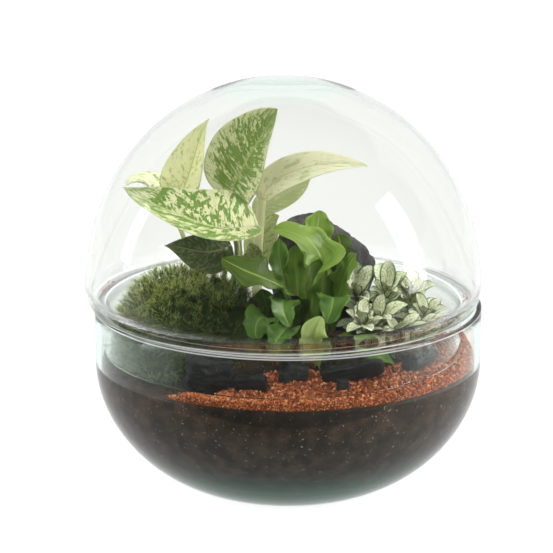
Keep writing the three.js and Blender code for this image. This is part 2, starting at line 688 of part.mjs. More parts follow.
function fittoniaStem({ root, head, tips }) {
  const foot = at(...root, soilTop(...root));
  const top = at(...head);
  const low = foot.clone().lerp(top, 0.15).setZ(mix(foot.z, top.z, 0.3));
  const high = foot.clone().lerp(top, 0.68);
  const leaves = tips.map((tip) => {
    const width = FITTONIA_WIDTH * at(...tip).distanceTo(top);
    return blade({ ...OVAL, spine: archedSpine(head, tip), face: [FITTONIA_FACE, FITTONIA_FACE], width });
  });
  const bud = toSolid(new THREE.IcosahedronGeometry(BUD_RADIUS, 0).translate(...head));
  const stem = stalk(through([foot, low, high, top]), FITTONIA_STEM, 3, 5, ROOT_DEPTH);
  return joined([stem, bud, ...leaves]).simplify(SLIVER);
}

// The whole terrarium

function build() {
  const group = new THREE.Group();
  const place = (name, solid, colour, roughness, extra = {}) => {
    const material = new THREE.MeshStandardMaterial({ color: colour, roughness, metalness: 0, ...extra });
    const mesh = new THREE.Mesh(toGeometry(solid), material);
    mesh.name = name;
    group.add(mesh);
  };
  const clear = { transparent: true, opacity: 0.3 };
  place('glass_bowl', glassBowl(), COLOURS.glass, 0.05, clear);
  place('glass_dome', glassDome(), COLOURS.glass, 0.05, clear);

  const filling = bowlFilling();
  const soil = soilBody(filling);
  const gravel = redGravel(soil, filling);
  const ground = joined([soil.translate([0, 0, 2.5 * GAP]), gravel.translate([0, 0, GAP])]);
  const holes = [];
  place('red_gravel', gravel, COLOURS.grit, 0.95);
  place('moss_cushion', mossCushion(soil), COLOURS.moss, 1);
  place('back_rock', mainBody(stone(BACK_ROCK).subtract(ground)), COLOURS.rock, 0.85);
  SLATES.forEach((slate, index) => {
    const block = stone({ ...slate, edge: 16, detail: 1 });
    place(`slate_${index + 1}`, mainBody(block.subtract(ground)), COLOURS.slate, 0.6);
  });
  Object.entries(POTHOS).forEach(([name, parts]) => {
    holes.push(uprightHole(parts[0].stalk[0], parts[0].radii[0] + HOLE_CLEARANCE));
    place(name, pothosLeaf(parts), COLOURS.pothos, 0.45);
  });
  FERN.forEach((leaf, index) => {
    const spine = spineOf(leaf.spine);
    holes.push(holeAlong(spine.getPoint(0), spine.getPoint(0.15), FROND_HOLE));
    const name = `fern_frond_${String(index + 1).padStart(2, '0')}`;
    place(name, blade({ ...STRAP, phase: index * 1.7, ...leaf }), COLOURS.fern, 0.4);
  });
  FITTONIA.forEach((stem, index) => {
    holes.push(uprightHole(stem.root, FITTONIA_STEM[0] + HOLE_CLEARANCE));
    place(`fittonia_stem_${index + 1}`, fittoniaStem(stem), COLOURS.fittonia, 0.6);
  });
  place('potting_soil', mainBody(soil.subtract(joined(holes))).simplify(SLIVER), COLOURS.soil, 1);
  return group;
}

export default build();
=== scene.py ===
# %% [markdown]
# # A planted glass terrarium
# The object is a round-bottomed glass bowl with a domed glass lid. Inside are soil, red grit, slate, a
# lava rock, a cushion of moss and three small plants: marbled pothos, a wavy fern and fittonia.
# Each section says what a piece is on the real object, how it could be made, and why it is made this way.

import bmesh
import bpy
import numpy as np
from mathutils import Euler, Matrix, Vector


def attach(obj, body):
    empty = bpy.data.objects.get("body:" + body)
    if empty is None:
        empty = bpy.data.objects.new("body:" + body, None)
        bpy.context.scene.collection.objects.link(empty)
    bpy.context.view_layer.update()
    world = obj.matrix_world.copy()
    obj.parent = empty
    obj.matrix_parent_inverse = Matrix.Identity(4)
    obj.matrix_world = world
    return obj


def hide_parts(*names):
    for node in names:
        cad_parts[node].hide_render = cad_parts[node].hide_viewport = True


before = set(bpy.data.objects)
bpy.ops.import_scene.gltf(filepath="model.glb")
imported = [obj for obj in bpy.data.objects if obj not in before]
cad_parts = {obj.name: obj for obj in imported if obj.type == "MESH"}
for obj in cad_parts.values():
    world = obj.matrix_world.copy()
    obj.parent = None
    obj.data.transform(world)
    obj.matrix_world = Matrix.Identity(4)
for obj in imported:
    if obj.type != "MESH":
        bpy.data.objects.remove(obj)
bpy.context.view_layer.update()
print("solid pieces:", len(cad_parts))

# %% [markdown]
# ## Small tools for numbers
# Every shape below is worked out in millimetres, as whole arrays. A few short functions come up again
# and again: a soft step, a blend, and a curve through four points, which is the spine of every leaf.


# %% Number tools
def soft_step(x):
    """0 below 0, 1 above 1, and between them 3x squared less 2x cubed."""
    x = np.clip(x, 0, 1)
    return x * x * (3 - 2 * x)


def blend(a, b, share):
    """The value that lies share of the way from a to b."""
    return a + (b - a) * share


def unit(vectors):
    """Each vector divided by its own length."""
    return vectors / np.linalg.norm(vectors, axis=-1, keepdims=True)


def spine_through(points, t):
    """The cubic that passes four points at t = 0, 1/3, 2/3 and 1: its places and its directions."""
    a, b, c, d = np.asarray(points, float)
    early = (-5 * a + 18 * b - 9 * c + 2 * d) / 6
    late = (2 * a - 9 * b + 18 * c - 5 * d) / 6
    t = np.asarray(t)[:, None]
    u = 1 - t
    place = u**3 * a + 3 * u * u * t * early + 3 * u * t * t * late + t**3 * d
    along = u * u * (early - a) + 2 * u * t * (late - early) + t * t * (d - late)
    return place, unit(along)


def loop_through(points, share, closed=True):
    """A smooth line through points (Catmull-Rom), read at shares of its length from 0 to 1."""
    points = np.asarray(points, float)
    count = len(points)
    spans = count if closed else count - 1
    place = np.asarray(share) * spans
    first = np.clip(np.floor(place).astype(int), 0, spans - 1)
    u = (place - first)[:, None]
    pick = (lambda k: points[(first + k) % count]) if closed else (
        lambda k: points[np.clip(first + k, 0, count - 1)])
    a, b, c, d = pick(-1), pick(0), pick(1), pick(2)
    return 0.5 * (2 * b + (c - a) * u + (2 * a - 5 * b + 4 * c - d) * u**2 + (3 * b - 3 * c + d - a) * u**3)


TABLE_SIZE, KEY_PRIMES, LAYERS = 4096, np.array([73856093, 19349663, 83492791]), 4


def lattice_noise(points, cell, seed):
    """Smooth noise from -1 to 1: random values on a lattice of cells, blended by a soft step."""
    table = np.random.default_rng(seed).uniform(-1, 1, TABLE_SIZE)
    place = np.asarray(points) / cell
    base = np.floor(place).astype(np.int64)
    share = soft_step(place - base)
    total = 0
    for corner in range(8):
        step = np.array([corner & 1, corner >> 1 & 1, corner >> 2 & 1])
        key = np.bitwise_xor.reduce((base + step) * KEY_PRIMES, axis=-1) % TABLE_SIZE
        weight = np.prod(np.where(step, share, 1 - share), axis=-1)
        total = total + weight * table[key]
    return total


def rough(points, cell, seed):
    """Layers of smooth noise, each twice as fine and half as strong as the one before."""
    return sum(lattice_noise(points, cell / 2**k, seed + k) / 2**k for k in range(LAYERS))


print("soft step of 0, 1/4, 1/2, 3/4 and 1:", soft_step(np.linspace(0, 1, 5)))

# %% [markdown]
# ## From arrays to a mesh
# A surface is a grid of points. Its faces follow from the grid's size, so one helper writes them for all
# pieces. Another closes a grid of rings, a third turns a profile about the upright axis, and a fourth runs a
# round section along a path.


# %% Faces of a grid
def grid_faces(rows, cols, closed=False):
    """The four corners of each cell in a grid of points, whose last column may join the first."""
    row, col = np.meshgrid(np.arange(rows - 1), np.arange(cols if closed else cols - 1), indexing="ij")
    row, col, after = row.ravel(), col.ravel(), (col.ravel() + 1) % cols
    corners = [row * cols + col, row * cols + after, (row + 1) * cols + after, (row + 1) * cols + col]
    return np.stack(corners, axis=1)


def fan_faces(ring, tip, forward=True):
    """Triangles from each pair of neighbours on a ring to one tip."""
    after = np.roll(ring, -1)
    pair = (ring, after) if forward else (after, ring)
    return np.stack([*pair, np.full(len(ring), tip)], axis=1)


def signed_volume(points, face_sets):
    """Six times the volume inside the faces: negative if they point inwards."""
    total = 0.0
    for faces in face_sets:
        a = points[faces[:, 0]]
        for k in range(1, faces.shape[1] - 1):
            total += np.einsum("ij,ij->", a, np.cross(points[faces[:, k]], points[faces[:, k + 1]]))
    return total


def closed_skin(rings, ends):
    """A grid whose rows are rings, closed by one point at either end, with its faces outwards."""
    rows, cols = rings.shape[:2]
    points = np.concatenate([rings.reshape(-1, 3), ends])
    first = np.arange(cols)
    face_sets = [grid_faces(rows, cols, closed=True), fan_faces(first, rows * cols, forward=False),
                 fan_faces(first + (rows - 1) * cols, rows * cols + 1)]
    if signed_volume(points, face_sets) < 0:
        face_sets = [faces[:, ::-1] for faces in face_sets]
    return points, face_sets


# %% Forms and pieces
class Form:
    """Points in millimetres with their faces and pattern coordinates, gathered piece by piece."""

    def __init__(self):
        self.points, self.faces, self.pattern, self.count = [], [], [], 0

    def add(self, points, face_sets, pattern=None):
        points = np.asarray(points, float).reshape(-1, 3)
        flat = np.zeros((len(points), 2)) if pattern is None else np.asarray(pattern, float).reshape(-1, 2)
        self.points.append(points)
        self.pattern.append(flat)
        self.faces += [np.asarray(faces) + self.count for faces in face_sets]
        self.count += len(points)
        return self

    def arrays(self):
        return np.concatenate(self.points), self.faces, np.concatenate(self.pattern)


def new_object(name, data):
    """An object that shows data, added to the scene."""
    made = bpy.data.objects.new(name, data)
    bpy.context.collection.objects.link(made)
    return made


def make_piece(name, node, form, finish, smooth=True):
    """A mesh object from a form. It stands for one solid piece and takes that piece's place."""
    points, face_sets, pattern = form.arrays()
    sizes = np.concatenate([np.full(len(faces), faces.shape[1]) for faces in face_sets])
    corners = np.concatenate([faces.ravel() for faces in face_sets])
    mesh = bpy.data.meshes.new(name)
    mesh.vertices.add(len(points))
    mesh.vertices.foreach_set("co", (points / 1000).ravel())
    mesh.loops.add(len(corners))
    mesh.loops.foreach_set("vertex_index", corners)
    mesh.polygons.add(len(sizes))
    mesh.polygons.foreach_set("loop_start", np.concatenate([[0], np.cumsum(sizes)[:-1]]))
    mesh.polygons.foreach_set("use_smooth", np.full(len(sizes), smooth))
    layer = mesh.uv_layers.new(name="pattern")
    layer.data.foreach_set("uv", pattern[corners].ravel())
    mesh.update(calc_edges=True)
    mesh.validate()
    mesh.materials.append(finish.material)
    piece = new_object(name, mesh)
    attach(piece, "root")
    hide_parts(node)
    print(name, len(points), "points")
    return piece


# %% Turned and round shapes
def turned(profile, sides, centre=0.0):
    """A profile of radius and height, from axis to axis, turned about the upright line x = centre."""
    profile = np.asarray(profile, float)
    angle = 2 * np.pi * np.arange(sides) / sides
    radius, height = profile[1:-1].T
    ring = np.stack([np.cos(angle), np.sin(angle)])
    grid = np.stack([radius[:, None] * ring[0] + centre, radius[:, None] * ring[1],
                     np.repeat(height[:, None], sides, axis=1)], axis=-1)
    return closed_skin(grid, [[centre, 0, profile[0, 1]], [centre, 0, profile[-1, 1]]])


def ways_round(along, beside, count):
    """Directions evenly spaced round each axis. The first is at a right angle to beside too."""
    side = unit(np.cross(along, beside))
    other = np.cross(along, side)
    angle = 2 * np.pi * np.arange(count) / count
    return np.cos(angle)[:, None] * side[:, None] + np.sin(angle)[:, None] * other[:, None]


def tube(place, along, radius, sides):
    """A closed round section of a given radius at each place of a path."""
    radius = np.broadcast_to(radius, len(place))[:, None, None]
    rings = place[:, None] + radius * ways_round(along, [0.02, 1.0, 0.05], sides)
    return closed_skin(rings, place[[0, -1]])


# %% [markdown]
# ## Writing materials as sums
# A material is a tree of nodes. To keep it readable, one class wraps a socket so that masks can be added
# and multiplied as numbers are, and one method makes every other node.


# %% Sockets as numbers
def grey(level):
    """A colour with as much red as green and blue."""
    return (level,) * 3


class Value:
    """A socket that can be used in sums, each of which adds its Math node."""

    def __init__(self, finish, socket):
        self.finish, self.socket = finish, socket

    def _sum(self, kind, first, second):
        return self.finish.node("ShaderNodeMath", {"operation": kind}, {0: first, 1: second})

    def __add__(self, other):
        return self._sum("ADD", self, other)

    def __sub__(self, other):
        return self._sum("SUBTRACT", self, other)

    def __rsub__(self, other):
        return self._sum("SUBTRACT", other, self)

    def __mul__(self, other):
        return self._sum("MULTIPLY", self, other)

    def __abs__(self):
        return self.finish.node("ShaderNodeMath", {"operation": "ABSOLUTE"}, {0: self})


# %% Finishes and their nodes
class Finish:
    """One material: its nodes are made by node(), and surface() gives it a shader."""

    def __init__(self, name):
        self.material = bpy.data.materials.new(name)
        self.material.use_nodes = True
        self.tree = self.material.node_tree
        self.tree.nodes.clear()
        self.end = self.tree.nodes.new("ShaderNodeOutputMaterial")

    def node(self, kind, settings, inputs, output=0):
        """A node of a kind: its settings are made first, then its inputs are set or linked."""
        made = self.tree.nodes.new(kind)
        for key, value in settings.items():
            if key == "stops":
                while len(made.color_ramp.elements) < len(value):
                    made.color_ramp.elements.new(0.5)
                for element, (place, colour) in zip(made.color_ramp.elements, value):
                    element.position, element.color = place, (*colour, 1)
            else:
                setattr(made, key, value)
        for key, value in inputs.items():
            if isinstance(value, Value):
                self.tree.links.new(value.socket, made.inputs[key])
            else:
                made.inputs[key].default_value = value
        return Value(self, made.outputs[output])

    def place(self):
        return self.node("ShaderNodeTexCoord", {}, {}, "Object")

    def pattern(self):
        return self.node("ShaderNodeUVMap", {"uv_map": "pattern"}, {})

    def parts(self, vector):
        """The three parts of a vector, each as a value."""
        split = self.node("ShaderNodeSeparateXYZ", {}, {0: vector})
        return [Value(self, socket) for socket in split.socket.node.outputs]

    def joined(self, *parts):
        return self.node("ShaderNodeCombineXYZ", {}, dict(enumerate(parts)))

    def ripple(self, value):
        """0.25 wherever value is a whole or a half number, and 0 midway between."""
        return abs(self.node("ShaderNodeMath", {"operation": "PINGPONG"}, {0: value, 1: 0.5}) - 0.25)

    def stretched(self, vector, scale):
        return self.node("ShaderNodeVectorMath", {"operation": "MULTIPLY"}, {0: vector, 1: scale})

    def noise(self, vector, scale, detail, roughness=0.5):
        return self.node("ShaderNodeTexNoise", {}, {"Vector": vector, "Scale": scale, "Detail": detail,
                                                    "Roughness": roughness})

    def step(self, value, low, high):
        """0 where value is below low, 1 above high, and soft between them."""
        return self.node("ShaderNodeMapRange", {"interpolation_type": "SMOOTHSTEP"},
                         {0: value, 1: low, 2: high, 3: 0.0, 4: 1.0})

    def colours(self, share, first, second):
        pair = [(*c, 1) if isinstance(c, tuple) else c for c in (first, second)]
        return self.node("ShaderNodeMix", {"data_type": "RGBA"}, {0: share, 6: pair[0], 7: pair[1]}, 2)

    def bump(self, height, distance, strength):
        return self.node("ShaderNodeBump", {}, {"Strength": strength, "Distance": distance, "Height": height})

    def principled(self, colour, roughness, normal=None, constants=None):
        inputs = {"Base Color": colour if isinstance(colour, Value) else (*colour, 1), "Roughness": roughness}
        inputs.update(constants or {})
        if normal is not None:
            inputs["Normal"] = normal
        return self.node("ShaderNodeBsdfPrincipled", {}, inputs)

    def surface(self, shader):
        self.tree.links.new(shader.socket, self.end.inputs["Surface"])
        return self

    def thin_surface(self, body, glow, light):
        """The surface of something thin: a share of what reaches its back shines through, coloured."""
        through = self.node("ShaderNodeBsdfTranslucent", {}, {"Color": (*light, 1)})
        return self.surface(self.node("ShaderNodeMixShader", {}, {0: glow, 1: body, 2: through}))


# %% [markdown]
# ## Camera
# The photograph looks slightly down on the object from the front, from far away, so the lens is long. The
# camera's height and distance were fitted to the rims, which show as ellipses.

# %% Camera
CAMERA_PLACE = (-0.00667, -1.35038, 0.49092)
CAMERA_AIM = (-0.00667, 0.0, 0.12149)
CAMERA_LENS, SENSOR_WIDTH = 157.12, 36.0


def aim_from(thing, place, aim):
    """Puts a camera or a lamp at a place and turns it towards aim."""
    thing.location = place
    thing.rotation_euler = (Vector(aim) - Vector(place)).to_track_quat("-Z", "Y").to_euler()


camera = new_object("camera", bpy.data.cameras.new("camera"))
camera.data.lens = CAMERA_LENS
camera.data.sensor_width = SENSOR_WIDTH
aim_from(camera, CAMERA_PLACE, CAMERA_AIM)
bpy.context.scene.camera = camera
bpy.context.scene.view_settings.view_transform = "Standard"
print("camera at", CAMERA_PLACE)

# %% [markdown]
# ## Glass bowl and dome
# Both vessels are blown and turned shapes, so each is a profile of radius and height turned about the
# upright axis. The bowl has a flat foot, a thick bottom and a fire-polished rim. The dome's shoulder stands
# on the rim, and its neck reaches down inside the bowl. A box of flat faces would catch the light wrongly,
# so the profile has many small steps and the turn has many sides.

# %% Sizes of the glass
SIDES = 192
GAP = 0.35
BOWL_HEIGHT, BOWL_RADIUS, BOWL_WALL, BOWL_FLOOR = 107.0, 112.4, 3.2, 7.0
FOOT_RADIUS, FLOOR_RADIUS, CURVE_TOP, CURVE_POWER = 50.0, 46.0, 74.0, 1.5
LID_SHIFT = -2.8
DOME_RADIUS, DOME_RISE, DOME_LEVEL, DOME_WALL = 114.8, 120.6, 117.8, 2.6
SHOULDER_RADIUS, NECK_RADIUS, NECK_WALL, NECK_BOTTOM = 111.8, 103.7, 2.7, 80.6
UPRIGHT_LEVELS = (82.0, 92.0, 100.0)
THICK_SPOTS = ((0.35, 0, 16), (0.5, 44, 12))
RIM_STEPS, BOTTOM_STEPS, ARC_STEPS = 13, 48, 56
print("vessel:", 2 * DOME_RADIUS, "mm wide and", round(DOME_LEVEL + DOME_RISE, 1), "mm high")


# %% Bowl profile
def round_bottom(foot, wall, floor, steps):
    """Radius and height up a round bottom: the rise's square root law, steeper near the foot."""
    rise = np.linspace(0, 1, steps) ** 1.7
    radius = foot + (wall - foot) * (1 - (1 - rise) ** 2) ** (1 / CURVE_POWER)
    return np.stack([radius, floor + (CURVE_TOP - floor) * rise], axis=1)


inner_wall = BOWL_RADIUS - BOWL_WALL
arc = np.linspace(0, np.pi, RIM_STEPS)
half_wall = BOWL_WALL / 2
polished_rim = np.stack([inner_wall + half_wall * (1 + np.cos(arc)),
                         BOWL_HEIGHT - half_wall * (1 - np.sin(arc))], axis=1)
outside = round_bottom(FOOT_RADIUS, BOWL_RADIUS, 0.0, BOTTOM_STEPS)
upright = np.array([[BOWL_RADIUS, level] for level in UPRIGHT_LEVELS])
inside = round_bottom(FLOOR_RADIUS, inner_wall, BOWL_FLOOR, BOTTOM_STEPS)[::-1]
floor_line = [[FLOOR_RADIUS / 2, BOWL_FLOOR], [0, BOWL_FLOOR]]
bowl_profile = np.concatenate([[[0, 0], [FOOT_RADIUS / 2, 0]], outside, upright, polished_rim,
                               upright[::-1] - [BOWL_WALL, 0], inside, floor_line])
print("bowl profile:", len(bowl_profile), "points")


# %% Dome profile
def cut_corners(points, rounds):
    """A line with its corners cut again and again at a quarter and three quarters of each span."""
    for _ in range(rounds):
        early, late = blend(points[:-1], points[1:], 0.25), blend(points[:-1], points[1:], 0.75)
        points = np.concatenate([points[:1], np.stack([early, late], axis=1).reshape(-1, 2), points[-1:]])
    return points


def dome_arc(radius, rise, steps):
    """A quarter of an ellipse from the crown down to the widest level."""
    angle = np.linspace(np.pi / 2, 0, steps)
    return np.stack([radius * np.cos(angle), DOME_LEVEL + rise * np.sin(angle)], axis=1)


seat = BOWL_HEIGHT + GAP
neck_inside = NECK_RADIUS - NECK_WALL
lower_edge = np.array([
    [DOME_RADIUS, DOME_LEVEL], [DOME_RADIUS - 0.9, seat + 4], [SHOULDER_RADIUS, seat + 0.6],
    [SHOULDER_RADIUS - 1.2, seat], [NECK_RADIUS + 2, seat], [NECK_RADIUS, seat - 2.4],
    [NECK_RADIUS, NECK_BOTTOM + 1.3], [NECK_RADIUS - 0.3, NECK_BOTTOM], [neck_inside + 0.3, NECK_BOTTOM],
    [neck_inside, NECK_BOTTOM + 1.3], [neck_inside, seat - 2.4], [neck_inside + 2.4, seat + 1.7],
    [neck_inside + 8.6, seat + 5], [DOME_RADIUS - DOME_WALL, DOME_LEVEL]])
dome_outer = dome_arc(DOME_RADIUS, DOME_RISE, ARC_STEPS)[:-1]
dome_inner = dome_arc(DOME_RADIUS - DOME_WALL, DOME_RISE - DOME_WALL, ARC_STEPS)[:-1][::-1]
for extra, middle, spread in THICK_SPOTS:
    dome_inner[:, 1] -= extra * np.exp(-((dome_inner[:, 0] - middle) / spread) ** 2)
dome_profile = np.concatenate([dome_outer, cut_corners(lower_edge, 2), dome_inner])
print("dome profile:", len(dome_profile), "points")

# %% [markdown]
# Clear glass bends light and takes a little of it on the way, more of the red than of the green, so thick
# places look green. The bowl is thick and greenish, the dome thin and nearly neutral, so each has its own
# glass. Real glass bends light more than this, but a path tracer gives up on light that is mirrored many
# times inside a wall and would leave black rings. For the same reason a share of the light passes the two
# rims unbent. Each rim also carries a painted highlight: a thin band of the glass glows as the fine bright
# line of its polished edge.
# Glass also stops lamps in a path tracer, so for shadows it counts as nearly clear.

# %% Clear glass
MINT, CROWN_EDGE = (0.87, 0.95, 0.91), (0.227, 0.236)
PAINTED_RIM_HIGHLIGHT, LINE_CORE, LINE_EDGE = grey(0.75), 0.0001, 0.0005
SHADOW_TONE, VOLUME_TONE = (0.93, 0.95, 0.94, 1), (0.0, 0.60, 0.48, 1)


def clear_glass(name, tone, bend, gloss, density, rim, unbent, line, crown=None):
    """Heights in metres. unbent: the share of light that passes the rim straight. line: the painted
    highlight's height.
    """
    finish = Finish(name)
    height = finish.parts(finish.place())[2]
    low, high = rim
    band = finish.step(height, low, low + 0.006) - finish.step(height, high - 0.003, high + 0.003)
    # A painted highlight: a thin band at the height line glows, as the bright line of a polished rim does.
    bright = (finish.step(height, line - LINE_EDGE, line - LINE_CORE)
              - finish.step(height, line + LINE_CORE, line + LINE_EDGE))
    if crown:
        tone = finish.colours(finish.step(height, *CROWN_EDGE), tone, crown)
    glass = finish.principled(tone, 0.0, constants={
        "IOR": bend, "Transmission Weight": 1.0, "Specular IOR Level": gloss, "Alpha": 1.0 - band * unbent,
        "Emission Strength": 1.0, "Emission Color": finish.colours(bright, grey(0), PAINTED_RIM_HIGHLIGHT)})
    clear = finish.node("ShaderNodeBsdfTransparent", {}, {"Color": SHADOW_TONE})
    shadow = finish.node("ShaderNodeLightPath", {}, {}, "Is Shadow Ray")
    finish.surface(finish.node("ShaderNodeMixShader", {}, {0: shadow, 1: glass, 2: clear}))
    tint = finish.node("ShaderNodeVolumeAbsorption", {}, {"Color": VOLUME_TONE, "Density": density})
    finish.tree.links.new(tint.socket, finish.end.inputs["Volume"])
    return finish


# %% Bowl and dome
thick_glass = clear_glass("greenish_bowl_glass", tone=(0.99, 1.0, 0.99), bend=1.25, gloss=0.3, density=20.0,
                          rim=(0.100, 0.115), unbent=0.3, line=0.1056)
thin_glass = clear_glass("thin_dome_glass", tone=(0.92, 0.92, 0.90), bend=1.26, gloss=0.6, density=4.0,
                         rim=(0.101, 0.115), unbent=0.5, line=0.1084, crown=MINT)
bowl, dome = turned(bowl_profile, SIDES), turned(dome_profile, SIDES, LID_SHIFT)
make_piece("bowl_of_glass", "glass_bowl", Form().add(*bowl), thick_glass)
make_piece("dome_of_glass", "glass_dome", Form().add(*dome), thin_glass)

# %% [markdown]
# ## Soil
# Soil fills the bowl up to the glass and mounds up under the plants. It is damp, so it clings to the glass
# with no air between, and shows dark, with pale specks. On top it is crumbly. One closed surface does both:
# the grid runs from the middle of the top out to the wall, down the wall and in again to the middle of the
# floor. The thick foot of the bowl glows green. That glow is painted light on the soil's underside, behind
# the glass, because the light that makes it is mirrored more often than a path tracer follows. Below the
# grit, in front, a flat lens of the soil is painted darker, as shade.

# %% The soil's heights
SOIL_AT_GLASS, SOIL_INSIDE = 75.6, 84.0
SOIL_FLAT_RADIUS, SOIL_RING_RADIUS = 50.0, 99.0
SOIL_SIDES, SOIL_TOP_ROWS, SOIL_WALL_ROWS = 260, 96, 40
CRUMBLE_HEIGHT, CRUMBLE_CELL, CALM_WIDTH = 0.9, 6.0, 8
WET = GAP + 0.06
MOUNDS = ((-48, -6, 14, 38), (15, 32, 8, 44), (66, -8, 6, 30))


def soil_top(x, y):
    """Height of the soil: a low ring at the glass, a level middle, and bell-shaped humps."""
    from_axis = np.hypot(x - LID_SHIFT, y)
    within = soft_step((SOIL_RING_RADIUS - from_axis) / (SOIL_RING_RADIUS - SOIL_FLAT_RADIUS))
    humps = sum(h * np.exp(-((x - a) ** 2 + (y - b) ** 2) / s**2) for a, b, h, s in MOUNDS)
    return SOIL_AT_GLASS + within * (SOIL_INSIDE - SOIL_AT_GLASS + humps)


print("soil in the middle:", round(float(soil_top(0, 0)), 1), "mm high")


# %% The soil's form
def soil_form():
    """The crumbly top and the wall below it, which is wet: it stands out by a hair more than the gap."""
    angle = 2 * np.pi * np.arange(SOIL_SIDES) / SOIL_SIDES
    edge = inner_wall - GAP
    radius = edge * np.linspace(0, 1, SOIL_TOP_ROWS + 1)[1:, None] ** 0.8
    x, y = radius * np.cos(angle), radius * np.sin(angle)
    flat = np.stack([x, y, 0 * x], axis=-1)
    crumbs = CRUMBLE_HEIGHT * rough(flat, CRUMBLE_CELL, 3) + 0.5
    fade = soft_step((edge - radius) / CALM_WIDTH)
    z = soil_top(x, y) + crumbs * (0.35 + 0.65 * fade) - 0.6
    wall = round_bottom(FLOOR_RADIUS - GAP, edge, BOWL_FLOOR + GAP, SOIL_WALL_ROWS)[::-1] + [WET, -WET]
    out, level = wall[:, :1], wall[:, 1:]
    below = np.stack([out * np.cos(angle), out * np.sin(angle), level + 0 * angle], axis=-1)
    rings = np.concatenate([np.stack([x, y, z], axis=-1), below])
    return closed_skin(rings, [[0, 0, soil_top(0, 0)], [0, 0, wall[-1, 1]]])


# %% [markdown]
# Loose crumbs and grit grains are small lumps. A twenty-sided lump, stretched and turned at random, is
# enough for each, and all of one kind are computed together as one array.

# %% Loose lumps
GOLD = (1 + 5**0.5) / 2
LUMP_CORNERS = unit(np.array([
    [-1, GOLD, 0], [1, GOLD, 0], [-1, -GOLD, 0], [1, -GOLD, 0], [0, -1, GOLD], [0, 1, GOLD],
    [0, -1, -GOLD], [0, 1, -GOLD], [GOLD, 0, -1], [GOLD, 0, 1], [-GOLD, 0, -1], [-GOLD, 0, 1]]))
LUMP_FACES = np.array([[0, 11, 5], [0, 5, 1], [0, 1, 7], [0, 7, 10], [0, 10, 11], [1, 5, 9], [5, 11, 4],
                       [11, 10, 2], [10, 7, 6], [7, 1, 8], [3, 9, 4], [3, 4, 2], [3, 2, 6], [3, 6, 8],
                       [3, 8, 9], [4, 9, 5], [2, 4, 11], [6, 2, 10], [8, 6, 7], [9, 8, 1]])


def random_turns(random, count):
    """Rotation matrices from random unit quaternions."""
    w, x, y, z = unit(random.normal(size=(count, 4))).T
    rows = [1 - 2 * (y * y + z * z), 2 * (x * y - z * w), 2 * (x * z + y * w),
            2 * (x * y + z * w), 1 - 2 * (x * x + z * z), 2 * (y * z - x * w),
            2 * (x * z - y * w), 2 * (y * z + x * w), 1 - 2 * (x * x + y * y)]
    return np.stack(rows, axis=-1).reshape(-1, 3, 3)


def lumps(centres, sizes, seed):
    """A small stretched and turned lump at each centre, with one random number each as its pattern."""
    random = np.random.default_rng(seed)
    count = len(centres)
    stretch = random.uniform(0.65, 1.1, (count, 1, 3)) * random.uniform(0.85, 1.1, (count, 12, 1))
    corners = LUMP_CORNERS * stretch * sizes[:, None, None]
    points = np.einsum("nij,nkj->nki", random_turns(random, count), corners) + centres[:, None]
    faces = (LUMP_FACES[None] + 12 * np.arange(count)[:, None, None]).reshape(-1, 3)
    shade = np.repeat(random.uniform(0, 1, (count, 1, 2)), 12, axis=1)
    return points.reshape(-1, 3), [faces], shade.reshape(-1, 2)


# %% Soil finish and pieces
LENS_MIDDLE, LENS_HALF_WIDTH, LENS_HALF_HEIGHT = (0.002, 0.0755), 0.0526, 0.01
CRUMBS, CRUMB_REACH = 1500, 97


def soil_finish():
    finish = Finish("damp_potting_soil")
    place = finish.place()
    clods = finish.noise(place, 120.0, 2.0)
    crumbs = finish.noise(place, 480.0, 1.0)
    specks = finish.step(finish.noise(place, 800.0, 0.0), 0.74, 0.82)
    damp = finish.colours(finish.step(clods, 0.30, 0.72), (0.024, 0.012, 0.007), (0.075, 0.041, 0.026))
    colour = finish.colours(finish.step(crumbs, 0.40, 0.66) * 0.5, damp, (0.016, 0.009, 0.006))
    colour = finish.colours(specks * 0.7, colour, (0.36, 0.28, 0.22))
    # Painted shade: a flat lens below the grit, in front, is darker.
    across, depth, height = finish.parts(place)
    aside = (across - LENS_MIDDLE[0]) * (1 / LENS_HALF_WIDTH)
    below = (height - LENS_MIDDLE[1]) * (1 / LENS_HALF_HEIGHT)
    in_front = finish.step(-0.02 - depth, 0.0, 0.01)
    lens = (1.0 - finish.step(aside * aside + below * below, 0.85, 1.0)) * in_front
    colour = finish.colours(lens * 0.6, colour, (0.008, 0.006, 0.005))
    # Painted light: the green glow of the thick foot, with faint rings, is coloured on the soil's underside.
    rings = finish.noise(finish.stretched(place, (0.0, 0.0, 420.0)), 1.0, 2.0)
    foot_light = finish.colours(finish.step(rings, 0.35, 0.65), (0.005, 0.066, 0.042), (0.013, 0.115, 0.078))
    colour = finish.colours((1.0 - finish.step(height, 0.008, 0.040)) * 0.95, colour, foot_light)
    normal = finish.bump(clods - crumbs * 0.3, 0.0006, 0.4)
    return finish.surface(finish.principled(colour, 0.92, normal))


def soil_crumbs():
    """Loose crumbs all over the soil inside the neck."""
    random = np.random.default_rng(7)
    radius = CRUMB_REACH * np.sqrt(random.uniform(0, 1, CRUMBS))
    angle = random.uniform(0, 2 * np.pi, CRUMBS)
    x, y = LID_SHIFT + radius * np.cos(angle), radius * np.sin(angle)
    size = 0.4 + 1.1 * random.uniform(0, 1, CRUMBS) ** 2
    return lumps(np.stack([x, y, soil_top(x, y) + 0.1], axis=1), size, 8)


make_piece("soil_in_bowl", "potting_soil",
           Form().add(*soil_form()).add(*soil_crumbs()), soil_finish())
